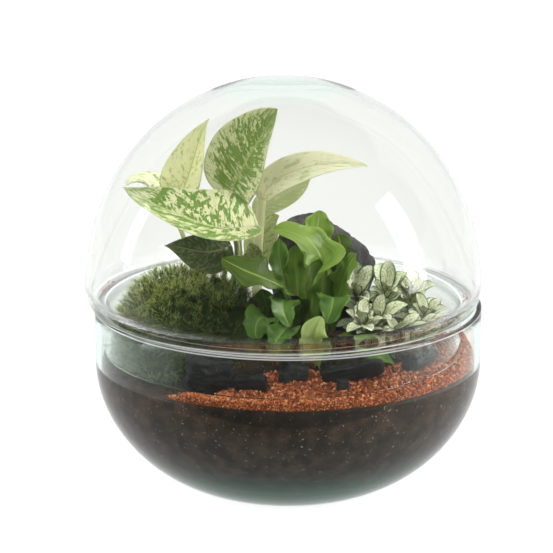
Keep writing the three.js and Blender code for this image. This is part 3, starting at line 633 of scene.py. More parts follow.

# %% [markdown]
# ## Red grit
# The grit is a band of crushed red lava, one to two millimetres a grain, that lies on the soil in front and
# on the right and reaches the glass. A smooth band would read as paint, so grains lie all over it and are
# packed against the glass. The band under the grains is painted dark, as the shade between them. A few stray
# grains stick to the ledge of the dome, left and right.

# %% The grit's form
GRIT_EDGE = ((-60, -86), (-46, -86), (-33, -78), (-16, -66), (6, -62), (29, -62), (52, -50), (78, -18),
             (88, 34))
GRIT_START, GRIT_END, GRIT_DEPTH = -2.24, 0.42, 4.0
GLASS_CLEARANCE, NECK_CLEARANCE, NECK_REACH = 0.9, 1.2, 9
GRAINS, GRAIN_SIZES, WALL_GRAINS, WALL_GRAIN_SIZES = 5200, (0.45, 1.0), 2000, (0.4, 0.75)
LEDGE_LEVEL, LEDGE_SLOPE, LEDGE_RADIUS, LEDGE_REACH = 110.2, 0.53, 105.5, (104.5, 107.5)
STRAY_SIZES, STRAYS = (0.5, 0.9), ((-0.10, 0.07, 12), (2.95, 0.09, 9))
# The band's body shows between the grains and takes the ramp's dark end: painted shade between the grains.
BODY_PAINTED_SHADE = 0.14


def grit_surface(share, out):
    """Points on top of the grit: share runs along the band and out from its inner edge to the glass."""
    angle = blend(GRIT_START, GRIT_END, share)
    far = (inner_wall - GAP - GLASS_CLEARANCE) * np.stack([np.cos(angle), np.sin(angle)], axis=-1)
    near = loop_through(GRIT_EDGE, share.ravel(), closed=False).reshape(*share.shape, 2)
    flat = blend(near, far, out[..., None])
    taper = soft_step(np.minimum(share, 1 - share) / 0.06) * soft_step(0.25 + out * 2.4)
    level = soil_top(flat[..., 0], flat[..., 1]) + 1 + (GRIT_DEPTH - 1) * taper
    beyond = np.hypot(flat[..., 0] - LID_SHIFT, flat[..., 1]) > NECK_RADIUS - NECK_REACH
    level = np.where(beyond, np.minimum(level, NECK_BOTTOM - NECK_CLEARANCE), level)
    return np.concatenate([flat, level[..., None]], axis=-1)


def grit_form():
    """The band's body, grains on top of it, grains against the glass, and strays on the dome's ledge."""
    share, out = np.meshgrid(np.linspace(0, 1, 120), np.linspace(0, 1, 22), indexing="ij")
    top = grit_surface(share, out) - [0, 0, 0.3]
    under = top.copy()
    under[..., 2] = np.minimum(top[..., 2] - 0.8, soil_top(top[..., 0], top[..., 1]) - 0.6)
    rings = np.concatenate([top, under[:, ::-1]], axis=1)
    points, faces = closed_skin(rings, rings[[0, -1]].mean(axis=1))
    form = Form().add(points, faces, np.full((len(points), 2), BODY_PAINTED_SHADE))
    random = np.random.default_rng(17)
    share = random.uniform(0.003, 0.997, GRAINS)
    out = random.uniform(0, 1, GRAINS) ** 0.8
    size = random.uniform(*GRAIN_SIZES, GRAINS)
    form.add(*lumps(grit_surface(share, out) + 0.3 * size[:, None] * [0, 0, 1], size, 18))
    share, drop = random.uniform(0.01, 0.99, WALL_GRAINS), random.uniform(0, 1, WALL_GRAINS)
    wall = grit_surface(share, np.ones(WALL_GRAINS))
    wall[:, 2] = blend(wall[:, 2], soil_top(wall[:, 0], wall[:, 1]), drop)
    form.add(*lumps(wall, random.uniform(*WALL_GRAIN_SIZES, WALL_GRAINS), 19))
    turn = np.concatenate([random.normal(middle, spread, count) for middle, spread, count in STRAYS])
    out = random.uniform(*LEDGE_REACH, len(turn))
    level = LEDGE_LEVEL + LEDGE_SLOPE * (out - LEDGE_RADIUS)
    strays = np.stack([LID_SHIFT + out * np.cos(turn), out * np.sin(turn), level], axis=1)
    return form.add(*lumps(strays, random.uniform(*STRAY_SIZES, len(turn)), 20))


# %% Grit finish and piece
def grit_finish():
    finish = Finish("crushed_red_lava")
    shade = finish.parts(finish.pattern())[0]
    stops = [(0.0, (0.05, 0.018, 0.012)), (0.16, (0.20, 0.045, 0.018)), (0.5, (0.46, 0.095, 0.027)),
             (0.85, (0.64, 0.19, 0.065)), (1.0, (0.78, 0.40, 0.20))]
    grains = finish.node("ShaderNodeValToRGB", {"stops": stops}, {0: shade})
    dust = finish.noise(finish.place(), 900.0, 3.0)
    colour = finish.colours(dust * 0.2, grains, (0.25, 0.07, 0.03))
    return finish.surface(finish.principled(colour, 0.9, finish.bump(dust, 0.0003, 0.6)))


make_piece("grit_band", "red_gravel", grit_form(), grit_finish(), smooth=False)

# %% [markdown]
# ## Rock and slate
# The rock is dark lava, rounded by its faces and pitted all over. The slates are split chips with flat, damp
# faces. Both start as a ball whose points are drawn in to the planes that cut it. Where planes meet, a high
# power keeps the edge nearly sharp. Noise then roughens the skin.

# %% Stone shapes
PRIME, SUNK = 2147483647, 2


def repeat_draws(seed, count):
    """A run of repeatable draws between 0 and 1: each state is 16807 times the last, modulo a prime."""
    draws, state = [], seed
    for _ in range(count):
        state = state * 16807 % PRIME
        draws.append(state / PRIME)
    return np.array(draws)


def ball(rows):
    """Directions on a ball: a grid over the six faces of a cube, pushed out to length 1."""
    step = np.tan(np.linspace(-np.pi / 4, np.pi / 4, rows))
    u, v = np.meshgrid(step, step, indexing="ij")
    one = np.ones_like(u)
    sides = [(one, u, v), (-one, v, u), (v, one, u), (u, -one, v), (u, v, one), (v, u, -one)]
    return [unit(np.stack(side, axis=-1)) for side in sides]


def stone_form(centre, size, turn, planes, seed, edge, rows, dents, skin):
    """A ball drawn in to random planes and then roughened: a power mean of how far each plane cuts in."""
    draws = repeat_draws(seed, 3 * planes).reshape(-1, 3)
    height, angle = 2 * draws[:, 0] - 1, 2 * np.pi * draws[:, 1]
    flat = np.sqrt(1 - height**2)
    way = np.stack([flat * np.cos(angle), flat * np.sin(angle), height], axis=1)
    cuts = np.concatenate([way / (0.78 + 0.22 * draws[:, 2:]), np.eye(3), -np.eye(3)])
    placed = np.array(Euler(turn).to_matrix())
    form = Form()
    for side in ball(rows):
        reach = np.sum(np.maximum(0, side @ cuts.T) ** edge, axis=-1) ** (-1 / edge)
        points = side * reach[..., None] * np.array(size) / 2
        inward = 1 - skin(points + np.array(centre)) * dents / np.linalg.norm(points, axis=-1)
        points = (points * inward[..., None]) @ placed.T + centre
        points[..., 2] = np.maximum(points[..., 2], soil_top(points[..., 0], points[..., 1]) - SUNK)
        form.add(points.reshape(-1, 3), [grid_faces(rows, rows)])
    return form


def lava_skin(points):
    """From 0 to about 1: broad hollows and small round pits."""
    pits = np.maximum(0, lattice_noise(points, 3.8, 5) - 0.10) ** 0.6
    return 0.5 + 0.40 * rough(points, 12.0, 2) + 0.85 * pits


def slate_skin(points):
    """Thin layers that step in and out, with a little roughness."""
    layers = lattice_noise(points * [0.25, 0.25, 1.0], 1.6, 9)
    return 0.5 + 0.30 * layers + 0.45 * rough(points, 6.0, 4)


# %% Stone finish
def stone_finish(name, dark, light, scale, roughness, gloss):
    """Matt stone that is glossier in patches, down to a roughness of gloss."""
    finish = Finish(name)
    place = finish.place()
    cloud = finish.noise(place, scale, 5.0, 0.6)
    grain = finish.noise(place, scale * 9, 3.0, 0.6)
    colour = finish.colours(finish.step(cloud * 0.6 + grain * 0.4, 0.36, 0.66), dark, light)
    normal = finish.bump(grain + cloud * 0.6, 0.0005, 0.9)
    sheen = finish.step(cloud, 0.4, 0.6) * (roughness - gloss) + gloss
    return finish.surface(finish.principled(colour, sheen, normal))


# %% Rock and slates
def weld(piece):
    """Joins the points that two sides of the ball share, and points every face outwards."""
    work = bmesh.new()
    work.from_mesh(piece.data)
    bmesh.ops.remove_doubles(work, verts=work.verts, dist=1e-6)
    bmesh.ops.recalc_face_normals(work, faces=work.faces)
    work.to_mesh(piece.data)
    work.free()


lava = stone_finish("dark_lava", (0.008, 0.008, 0.009), (0.090, 0.082, 0.078), 120.0, 0.95, 0.7)
slate = stone_finish("damp_slate", grey(0.002), grey(0.016), 140.0, 0.6, 0.34)
LAVA_SHAPE = {"edge": 7, "rows": 64, "dents": 2.4, "skin": lava_skin}
SLATE_SHAPE = {"edge": 10, "rows": 34, "dents": 2.0, "skin": slate_skin}
# Centre, size, turn, number of planes and seed of each stone
BACK_ROCK = ((21, 36, 112), (74, 36, 78), (0, 0.2, 0.1), 14, 31)
SLATES = (
    ((-44, -77, 87), (25, 16, 22), (0.1, 0.1, 0.35), 5, 3),
    ((-20, -83, 83), (20, 12, 12), (0.1, -0.1, -0.2), 6, 8),
    ((1, -73, 86), (19, 13, 13), (0, 0.2, 0.3), 5, 14),
    ((35, -72, 87), (37, 11, 11), (0.1, -0.2, 0.1), 7, 21),
    ((29, -83, 83), (10, 8, 8), (0, 0.1, 0.4), 6, 27),
    ((72, -45, 87), (27, 13, 14), (0, -0.1, 1.03), 6, 35),
    ((36, 6, 100), (26, 16, 30), (0, 0.15, 0.2), 6, 40))
weld(make_piece("lava_rock", "back_rock", stone_form(*BACK_ROCK, **LAVA_SHAPE), lava))
for number, stone in enumerate(SLATES, 1):
    form = stone_form(*stone, **SLATE_SHAPE)
    weld(make_piece(f"slate_chip_{number}", f"slate_{number}", form, slate))

# %% [markdown]
# ## Moss
# The moss is a cushion of star-shaped shoots, each a few millimetres tall, dark below and yellow-green at the
# tips. The dark below is partly painted shade between the needles, and the crown, the left side and the low
# flank are painted lighter where light falls. A rounded body carries the shoots, and each is a spray of small
# bent needles that spread from its axis. All the needles are computed together. A few thin red-brown stalks
# rise above them.

# %% Moss body
MOSS_MIDDLE = (-54, -20)
MOSS_EDGE = ((-97, -18), (-94, 8), (-78, 22), (-60, 10), (-46, -6), (-27, -12), (-12, -16), (-7, -30),
             (-14, -44), (-32, -52), (-54, -60), (-74, -61), (-88, -42))
MOSS_CROWN, MOSS_TOP_FALL = 123.0, 0.14
MOSS_COLUMNS, MOSS_ROWS, SKIRT = 96, 41, 6
SHOOTS, NEEDLES, THREADS = 1500, 12, 26
NEEDLE_SPREADS, NEEDLE_LENGTHS, NEEDLE_WIDTHS = (0.85, 0.26), (4.2, 7.6), (0.15, 0.26)
SHOOT_LEAST, SHOOT_MORE, SHOOT_TALLEST = 1.6, 4.0, 3.4
THREAD_MARK = 2.0


def moss_surface(turn, share):
    """A rounded cushion: from its middle at share 0 to its edge at 1, with a top that leans to the right."""
    edge = loop_through(MOSS_EDGE, ((1.5 - turn / (2 * np.pi)) % 1).ravel()).reshape(*turn.shape, 2)
    flat = blend(np.array(MOSS_MIDDLE, float), edge, share[..., None])
    rise = 0.1 * (flat[..., 1] - MOSS_MIDDLE[1]) - MOSS_TOP_FALL * np.maximum(0, flat[..., 0] + 46)
    crown = MOSS_CROWN + rise - SOIL_AT_GLASS
    height = SOIL_AT_GLASS + crown * (1 - np.minimum(share, 1) ** 2.8) ** 0.45
    points = np.concatenate([flat, height[..., None]], axis=-1)
    swell = 1.3 * lattice_noise(points, 9.0, 31) + 0.5
    outward_way = unit(points - np.array([*MOSS_MIDDLE, SOIL_INSIDE - 10]))
    return points + outward_way * swell[..., None]


def moss_body():
    """The cushion's surface, with a skirt that goes down into the soil."""
    turn = np.linspace(0, 2 * np.pi, MOSS_COLUMNS + 1)[:-1]
    share = np.sin(np.linspace(0, np.pi / 2, MOSS_ROWS + 1))[1:]
    points = moss_surface(*np.meshgrid(turn, share))
    skirt = points[-1] - [0, 0, SKIRT]
    top = moss_surface(np.zeros(1), np.zeros(1))
    return closed_skin(np.concatenate([points, skirt[None]]), [top[0], skirt.mean(axis=0)])


# %% Moss shoots
def across_of(ways, random):
    """One unit direction at a right angle to each of the ways, at a random turn about it."""
    return unit(np.cross(ways, random.normal(size=ways.shape)))


def spikes(base, way, bend, length, width, shade):
    """Three-sided spikes: a foot, a middle that leans along way, and a tip that leans on towards bend."""
    ring = ways_round(way, [0.31, 0.17, 0.93], 3)
    middle = base + way * (0.55 * length)[:, None]
    tip = middle + unit(way + 0.6 * bend) * (0.45 * length)[:, None]
    low = base[:, None] + ring * (0.5 * width)[:, None, None]
    high = middle[:, None] + ring * (0.42 * width)[:, None, None]
    points = np.concatenate([low, high, tip[:, None]], axis=1)
    start = 7 * np.arange(len(base))[:, None, None]
    sides = np.array([[0, 1, 4, 3], [1, 2, 5, 4], [2, 0, 3, 5]]) + start
    caps = np.array([[3, 4, 6], [4, 5, 6], [5, 3, 6], [2, 1, 0]]) + start
    share = np.array([0, 0, 0, 0.55, 0.55, 0.55, 1.0])
    pattern = np.stack(np.broadcast_arrays(share[None], shade[:, None]), axis=-1)
    return points.reshape(-1, 3), [sides.reshape(-1, 4), caps.reshape(-1, 3)], pattern.reshape(-1, 2)


def moss_shoots():
    """Three shoots of five stand anywhere on the cushion, the others near its edge, where it is steep."""
    random = np.random.default_rng(41)
    turn, share = random.uniform(0, 2 * np.pi, SHOOTS), random.uniform(0, 0.999, SHOOTS)
    share = np.where(np.arange(SHOOTS) % 5 < 3, share**0.42, 0.9990 - 0.14 * share**3)
    foot = moss_surface(turn, share)
    step = 1e-3
    way = unit(np.cross(moss_surface(turn, share - step) - foot, moss_surface(turn + step, share) - foot))
    out = np.sign(np.sum(way * (foot - [*MOSS_MIDDLE, 70]), axis=1, keepdims=True))
    way = unit(way * out + [0, 0, 0.35])
    way = unit(way + 0.28 * random.normal(size=way.shape))
    tall = SHOOT_LEAST + SHOOT_MORE * random.uniform(0, 1, SHOOTS)
    tall = tall + SHOOT_TALLEST * random.uniform(0, 1, SHOOTS) ** 8
    level = np.tile(np.linspace(0.1, 1, NEEDLES), SHOOTS)
    axis = np.repeat(way, NEEDLES, axis=0)
    base = np.repeat(foot, NEEDLES, axis=0) + axis * (level * np.repeat(tall, NEEDLES))[:, None]
    spread = blend(*NEEDLE_SPREADS, level) + 0.2 * random.normal(size=len(level))
    outward_way = across_of(axis, random)
    lean = unit(np.cos(spread)[:, None] * axis + np.sin(spread)[:, None] * outward_way)
    length = random.uniform(*NEEDLE_LENGTHS, len(level)) * (1 - 0.25 * np.repeat(share, NEEDLES) ** 6)
    width = random.uniform(*NEEDLE_WIDTHS, len(level))
    shade = np.clip(np.repeat(random.uniform(0, 1, SHOOTS), NEEDLES) * 0.7 + 0.3 * level, 0, 1)
    return spikes(base, lean, outward_way, length, width, shade)


# %% Moss finish
def moss_finish():
    """Painted light on the crown, to the left and low down; dark needle feet, partly painted shade; red-brown
    threads.
    """
    finish = Finish("star_moss")
    share, shade, _ = finish.parts(finish.pattern())
    place = finish.place()
    patches = finish.noise(place, 55.0, 3.0)
    left, _, height = finish.parts(place)
    # Painted light: lighter higher up and further left, where the light falls.
    crown = finish.step((height - 0.098) * 22.0 - (left + 0.050) * 12.0, 0.0, 1.0)
    # Painted light low down on the cushion, behind the glass.
    low = 1.0 - finish.step(height, 0.085, 0.097)
    bright = shade * 0.35 + patches * 0.4 + crown * 0.75 + low * 0.35 - 0.15
    lit = finish.colours(bright, (0.06, 0.13, 0.018), (0.72, 0.84, 0.22))
    # Needles are dark at the foot: partly their own colour, partly painted shade between them.
    colour = finish.colours(finish.step(share, 0.15, 0.9), (0.014, 0.028, 0.006), lit)
    colour = finish.colours(finish.step(share, 1.5, THREAD_MARK), colour, (0.20, 0.075, 0.035))
    return finish.thin_surface(finish.principled(colour, 0.75), 0.22, (0.24, 0.34, 0.07))


# %% Moss threads and piece
def moss_threads():
    """Thin stalks with a small capsule, each a narrow tube on its own bent path."""
    random = np.random.default_rng(47)
    form = Form()
    turn, share = random.uniform(0, 2 * np.pi, THREADS), random.uniform(0, 0.8, THREADS) ** 0.5
    leans, heights = random.normal(size=(THREADS, 3)), random.uniform(5, 9, THREADS)
    for foot, lean, tall in zip(moss_surface(turn, share), leans, heights):
        top = foot + [0, 0, tall] + 0.16 * tall * lean
        path = [foot, blend(foot, top, 0.35) + [0, 0, 0.6], blend(foot, top, 0.7) + [0, 0, 0.8], top]
        place, along = spine_through(path, np.linspace(0, 1, 9))
        radius = np.where(np.arange(9) > 6, 0.3, 0.12)
        points, faces = tube(place, along, radius, 5)
        form.add(points, faces, np.full((len(points), 2), THREAD_MARK))
    return form.arrays()


make_piece("moss_with_shoots", "moss_cushion",
           Form().add(*moss_body()).add(*moss_shoots()).add(*moss_threads()), moss_finish())

# %% [markdown]
# ## Leaves
# A leaf is a thin sheet along a curved spine. Each cross-section is a shallow V, the margins wave, and in a
# heart-shaped leaf the lobes reach back past the stalk. The sheet is a grid with an upper and an under side
# joined at the margins. It is thinner at the margin than at the midrib, as leaves are.

# %% Leaf blade
STALK_MARK, STALK_EDGE = 3.0, (1.5, 2.0)
LEAST_HALF_WIDTH, GROOVE_DEPTH, GROOVE_WIDTH = 0.12, 0.35, 0.9
OUTLINES = {
    "heart": lambda t: t**0.45 * (1 - t) ** 0.85 / 0.432,
    "pointed": lambda t: t**0.45 * (1 - t) ** 1.25 / 0.3745,
    "strap": lambda t: (0.14 + 0.86 * soft_step((t - 0.1) / 0.5)) * (1 - t**5) ** 0.6,
    "ovate": lambda t: t**0.6 * (1 - t) ** 0.7 / 0.408,
}


def leaf_blade(spine, face, width, outline, rows, cols, thick, fold, wave, waves, lobe=0.0, phase=0.0,
               ruffle=0.0, quilt=0.0, scallop=0.0):
    """Half width times side gives the way out from the spine; fold, waves and ruffles lift the margins."""
    t = (1 - np.cos(np.linspace(0, np.pi, rows))) / 2
    place, along = spine_through(spine, t)
    normal = blend(np.array(face[0], float), np.array(face[1], float), t[:, None])
    normal = unit(normal - np.sum(normal * along, axis=1, keepdims=True) * along)
    across = np.cross(along, normal)
    side, t = np.linspace(-1, 1, cols)[None], t[:, None]
    reach = np.abs(side)
    turn = 2 * np.pi * waves * t + phase + 2 * (side < 0)
    half = width * OUTLINES[outline](t) * (1 + scallop * np.sin(1.9 * turn + phase))
    half = np.maximum(half, LEAST_HALF_WIDTH)
    open_angle = blend(fold[0], fold[1], t)
    swell = np.sin(np.pi * t).clip(0) ** 0.5
    lift = reach * half * np.sin(open_angle) + wave * reach**1.5 * np.sin(turn) * swell
    lift = lift + ruffle * reach**3 * np.sin(2.7 * turn + 3 * side) * swell
    lift = lift + quilt * np.sin(2 * np.pi * (10 * t - 2.4 * reach)) * reach * (1 - reach) * swell
    lift = lift - GROOVE_DEPTH * np.exp(-((side * half / GROOVE_WIDTH) ** 2)) * swell
    back = -lobe * width * reach**1.3 * (1 - t) ** 3
    out = side * half * np.cos(open_angle)
    upper = (place[:, None] + across[:, None] * out[..., None] + normal[:, None] * lift[..., None]
             + along[:, None] * back[..., None])
    depth = thick * (1 - 0.75 * reach**2) * (0.35 + 0.65 * swell)
    lower = upper - normal[:, None] * depth[..., None]
    rings = np.concatenate([upper, lower[:, ::-1]], axis=1)
    flat = np.stack(np.broadcast_arrays(side, t), axis=-1)
    pattern = np.concatenate([flat, flat[:, ::-1]], axis=1).reshape(-1, 2)
    pattern = np.concatenate([pattern, [[0, 0], [0, 1]]])
    return *closed_skin(rings, rings[[0, -1]].mean(axis=1)), pattern


# %% Stalk
def stalk(route, radii, steps=26, sides=12, root=0.0):
    """A round stalk along a curve, with its root a little under the soil, marked for the finish."""
    share = np.linspace(0, 1, steps)
    place, along = spine_through(route, share)
    if root:
        place = np.concatenate([place[:1] - [0, 0, root], place])
        along = np.concatenate([[[0, 0, 1.0]], along])
        share = np.concatenate([[0], share])
    points, faces = tube(place, along, blend(radii[0], radii[1], share), sides)
    pattern = np.concatenate([np.repeat(share, sides), [0, 1]])
    return points, faces, np.stack([np.full(len(points), STALK_MARK), pattern], axis=1)


# %% [markdown]
# ## Pothos
# Pothos leaves are heart-shaped and marbled: green blotches on a cream ground, drawn out along the side
# veins, with a pale midrib. No two leaves carry the same share of green, so one recipe takes the ground, the
# two greens and the share. The blotches are noise in leaf coordinates: across the veins and along them.


# %% Marbled leaf finish
def marbled_leaf(name, ground, green, deep, share_green, shift, light, stripes=0.55, glow=0.25, behind=0.0,
                 pale_margin=0.0):
    """Two greens on a ground. behind adds green at the back, and pale_margin takes it from the margins."""
    finish = Finish(name)
    side, along, _ = finish.parts(finish.pattern())
    place = finish.place()
    reach = abs(side)
    veins = along * 10 - reach * 2.4
    half = finish.step(side, -0.01, 0.01)
    marble = finish.joined(veins * stripes, reach * 1.6, half * 3.7 + shift)
    broad = finish.noise(marble, 2.2, 4.0, 0.62)
    small = finish.noise(marble, 7.5, 3.0, 0.6)
    edge = 0.59 - 0.18 * share_green
    greener = finish.step(finish.parts(place)[1], 0.010, 0.018) * behind
    paler = finish.step(reach, 0.35, 1.0) * pale_margin
    cover = finish.step(broad * 0.6 + small * 0.4 + greener - paler, edge - 0.016, edge + 0.020)
    darker = finish.step(finish.noise(marble, 3.4, 3.0, 0.6), 0.46, 0.58)
    greens = finish.colours(darker, green, deep)
    colour = finish.colours(cover, ground, greens)
    ridge = finish.step(finish.ripple(veins), 0.19, 0.25)
    colour = finish.colours(ridge * 0.16, colour, ground)
    midrib = 1.0 - finish.step(reach, 0.018, 0.05)
    colour = finish.colours(midrib * 0.75, colour, (0.50, 0.56, 0.24))
    colour = finish.colours(finish.step(reach, 0.955, 0.985) * 0.7, colour, (0.62, 0.62, 0.34))
    streaks = finish.noise(finish.stretched(place, (900.0, 900.0, 60.0)), 1.0, 3.0)
    stem = finish.colours(streaks, (0.42, 0.48, 0.20), (0.72, 0.74, 0.46))
    colour = finish.colours(finish.step(side, *STALK_EDGE), colour, stem)
    normal = finish.bump(ridge * 0.4 + small * 0.3 - midrib * 0.6, 0.0005, 0.55)
    body = finish.principled(colour, 0.42, normal, {"Coat Weight": 0.15, "Coat Roughness": 0.3})
    return finish.thin_surface(body, glow, light)


CREAM, PALE, IVORY, STRAW = (0.82, 0.81, 0.54), (0.64, 0.70, 0.34), (0.90, 0.90, 0.62), (0.70, 0.68, 0.41)
SOFT_CREAM, SHADE_CREAM = (0.92, 0.89, 0.72), (0.34, 0.33, 0.20)
LIME, SOFT_GREEN, LEAF_GREEN = (0.38, 0.50, 0.15), (0.34, 0.45, 0.15), (0.18, 0.27, 0.055)
MID_GREEN, DARK_GREEN, SHADE_GREEN = (0.13, 0.27, 0.045), (0.060, 0.145, 0.022), (0.105, 0.125, 0.055)
CREAM_LIGHT, LEAF_LIGHT, LEAF_GLOW = (0.88, 0.87, 0.58), (0.32, 0.48, 0.12), (0.60, 0.66, 0.26)

# %% Pothos leaves
HEART = {"outline": "heart", "rows": 64, "cols": 27, "thick": 0.6, "quilt": 0.9, "fold": (0.3, 0.2),
         "lobe": 0.3, "wave": 1, "waves": 1}
# Each leaf's stalk (its route up to the blade, and its radii) and blade. The two on the right share one node.
POTHOS = {
    "tall": [(((-28, 12, 98), (-28, 12, 127), (-30, 12, 153)), (2.1, 1.5), dict(
        spine=((-32, 6, 173), (-25, 0, 188), (-16, -12, 206), (-6, -28, 225)),
        face=((-0.3, -0.8, 0.45), (-0.35, -0.8, 0.4)), width=24, fold=(0.45, 0.35), waves=1.5))],
    "rolled": [(((-43, 18, 98), (-44, 19, 120), (-54, 21, 146)), (1.9, 1.4), dict(
        spine=((-63, 20, 165), (-57, 20, 180), (-52, 16, 197), (-45, 8, 214)),
        face=((-0.4, -0.8, 0.3), (-0.4, -0.8, 0.3)), outline="pointed", width=16, fold=(0.5, 0.5)))],
    "rear_left": [(((-54, 26, 96), (-56, 25, 118), (-62, 26, 140)), (1.7, 1.3), dict(
        spine=((-70, 26, 159), (-77, 27, 167), (-86, 22, 173), (-94, 12, 173)),
        face=((0, -0.5, 0.9), (-0.3, -0.5, 0.8)), width=11, lobe=0.4))],
    "front": [(((-33, -1, 99), (-32, -2, 117), (-29, -16, 140)), (2.1, 1.6), dict(
        spine=((-34, -30, 158), (-51, -32, 162), (-73, -26, 170), (-94, -10, 177)),
        face=((0.1, -0.36, 0.93), (0, -0.45, 0.9)), outline="pointed", width=25, fold=(0.45, 0.3),
        lobe=0.75, wave=1.2, waves=1.5))],
    "right": [(((-18, 9, 98), (-18, 9, 120), (-17, 9, 142)), (3.2, 2.4), dict(
        spine=((-15, 6, 167), (-4, 3, 180), (18, 0, 188), (46, 0, 187)),
        face=((-0.4, -0.8, 0.4), (-0.1, -0.8, 0.6)), width=10, lobe=0.1, waves=1.5)),
              (((-17, 9, 132), (-18, 13, 140), (-19, 18, 148)), (1.6, 1.2), dict(
        spine=((-18, 22, 156), (-7, 24, 161), (4, 27, 167), (13, 29, 173)),
        face=((-0.3, -0.8, 0.6), (-0.1, -0.8, 0.6)), width=9, wave=0.8))],
    "rear": [(((-18, 37, 94), (-18, 40, 103), (-18, 44, 111)), (1.4, 1.1), dict(
        spine=((-16, 48, 118), (-16, 52, 128), (-13, 55, 138), (-5, 56, 144)),
        face=((0, -1, 0.2), (0.2, -1, 0.2)), width=11, wave=0.8))],
    "shaded": [(((-38, 3, 99), (-38, 3, 113), (-36, -4, 128)), (1.7, 1.3), dict(
        spine=((-36, -12, 142), (-48, -14, 140), (-59, -14, 142), (-71, -12, 143)),
        face=((-0.1, -0.95, 0.1), (-0.2, -0.95, 0.1)), outline="pointed", width=13, fold=(0.2, 0.15)))],
    "young": [(((-25, 1, 99), (-25, 0, 110), (-24, -3, 119)), (1.4, 1.1), dict(
        spine=((-23, -5, 126), (-20, -6, 131), (-20, -7, 138), (-23, -8, 143)),
        face=((-0.3, -0.9, 0.2), (-0.2, -0.9, 0.3)), width=8, fold=(0.5, 0.3), lobe=0, wave=0.6))],
}
# Ground, green, deep green, share of green, shift of the pattern, light from behind, then what differs
POTHOS_COLOURS = {
    "tall": (CREAM, MID_GREEN, LEAF_GREEN, 0.78, 2.0, LEAF_GLOW, 1.3, 0.34, 0.0, 0.10),
    "rolled": (IVORY, LIME, LEAF_GREEN, 0.24, 5.1, CREAM_LIGHT, 0.55, 0.5),
    "rear_left": (IVORY, LIME, MID_GREEN, 0.34, 8.3, CREAM_LIGHT),
    "front": (STRAW, LEAF_GREEN, MID_GREEN, 0.54, 11.7, LEAF_GLOW, 0.70, 0.15),
    "right": (SOFT_CREAM, SOFT_GREEN, LIME, 0.20, 14.2, SOFT_CREAM, 0.55, 0.55, 0.14),
    "rear": (PALE, LIME, MID_GREEN, 0.35, 17.9, CREAM_LIGHT),
    # The shaded leaf hangs under the front one: its ground and green are painted darker, as shade.
    "shaded": (SHADE_CREAM, SHADE_GREEN, DARK_GREEN, 0.66, 20.4, LEAF_LIGHT, 0.9),
    "young": (PALE, MID_GREEN, DARK_GREEN, 0.50, 23.6, CREAM_LIGHT),
}
POTHOS_NODES = {"right": "pothos_stem_right"}
for name, parts in POTHOS.items():
    form = Form()
    for number, (route, radii, leaf) in enumerate(parts):
        form.add(*stalk((*route, leaf["spine"][0]), radii, root=0.0 if number else 1.5))
        form.add(*leaf_blade(**{**HEART, **leaf}))
    make_piece(f"pothos_{name}", POTHOS_NODES.get(name, f"pothos_leaf_{name}"), form,
               marbled_leaf(f"marbled_leaf_{name}", *POTHOS_COLOURS[name]))

# %% [markdown]
# ## Fern
# The fern has strap-shaped fronds with wavy margins that rise from one crown and bend over. They are thin
# enough for light to shine through, so the same blade recipe gets more waves, and the finish lets more light
# pass. One short young frond grows beside the seventh and is part of its piece. It closes a gap next to the
# moss that the real plant doesn't have.


# %% Fern finish
def fern_finish(name, bright, deep, glow, shine=0.5):
    """Two greens in streaks, the brighter one more towards the top as painted light, with fine ribs and a
    pale midrib.
    """
    finish = Finish(name)
    side, along, _ = finish.parts(finish.pattern())
    place = finish.place()
    reach = abs(side)
    ribs = finish.ripple(along * 34 - reach * 1.6) * 4
    cloud = finish.noise(place, 60.0, 3.0)
    streak = finish.noise(finish.joined(along * 2.5, side * 2.2, cloud), 1.6, 2.0)
    height = finish.parts(place)[2]
    # Painted light and shade: lighter higher up, darker lower down.
    lit = finish.step(streak * 1.5 - 0.25 + (height - 0.125) * 7.0, 0.22, 0.80)
    colour = finish.colours(lit, deep, bright)
    colour = finish.colours(ribs * 0.14, colour, (0.42, 0.62, 0.12))
    midrib = 1.0 - finish.step(reach, 0.03, 0.10)
    colour = finish.colours(midrib * 0.5, colour, (0.36, 0.50, 0.12))
    normal = finish.bump(ribs * 0.5 + cloud * 0.7 - midrib, 0.0004, 0.5)
    body = finish.principled(colour, 0.26, normal, {"Coat Weight": shine, "Coat Roughness": 0.18,
                                                    "Specular IOR Level": shine})
    return finish.thin_surface(body, glow, (0.34, 0.52, 0.06))


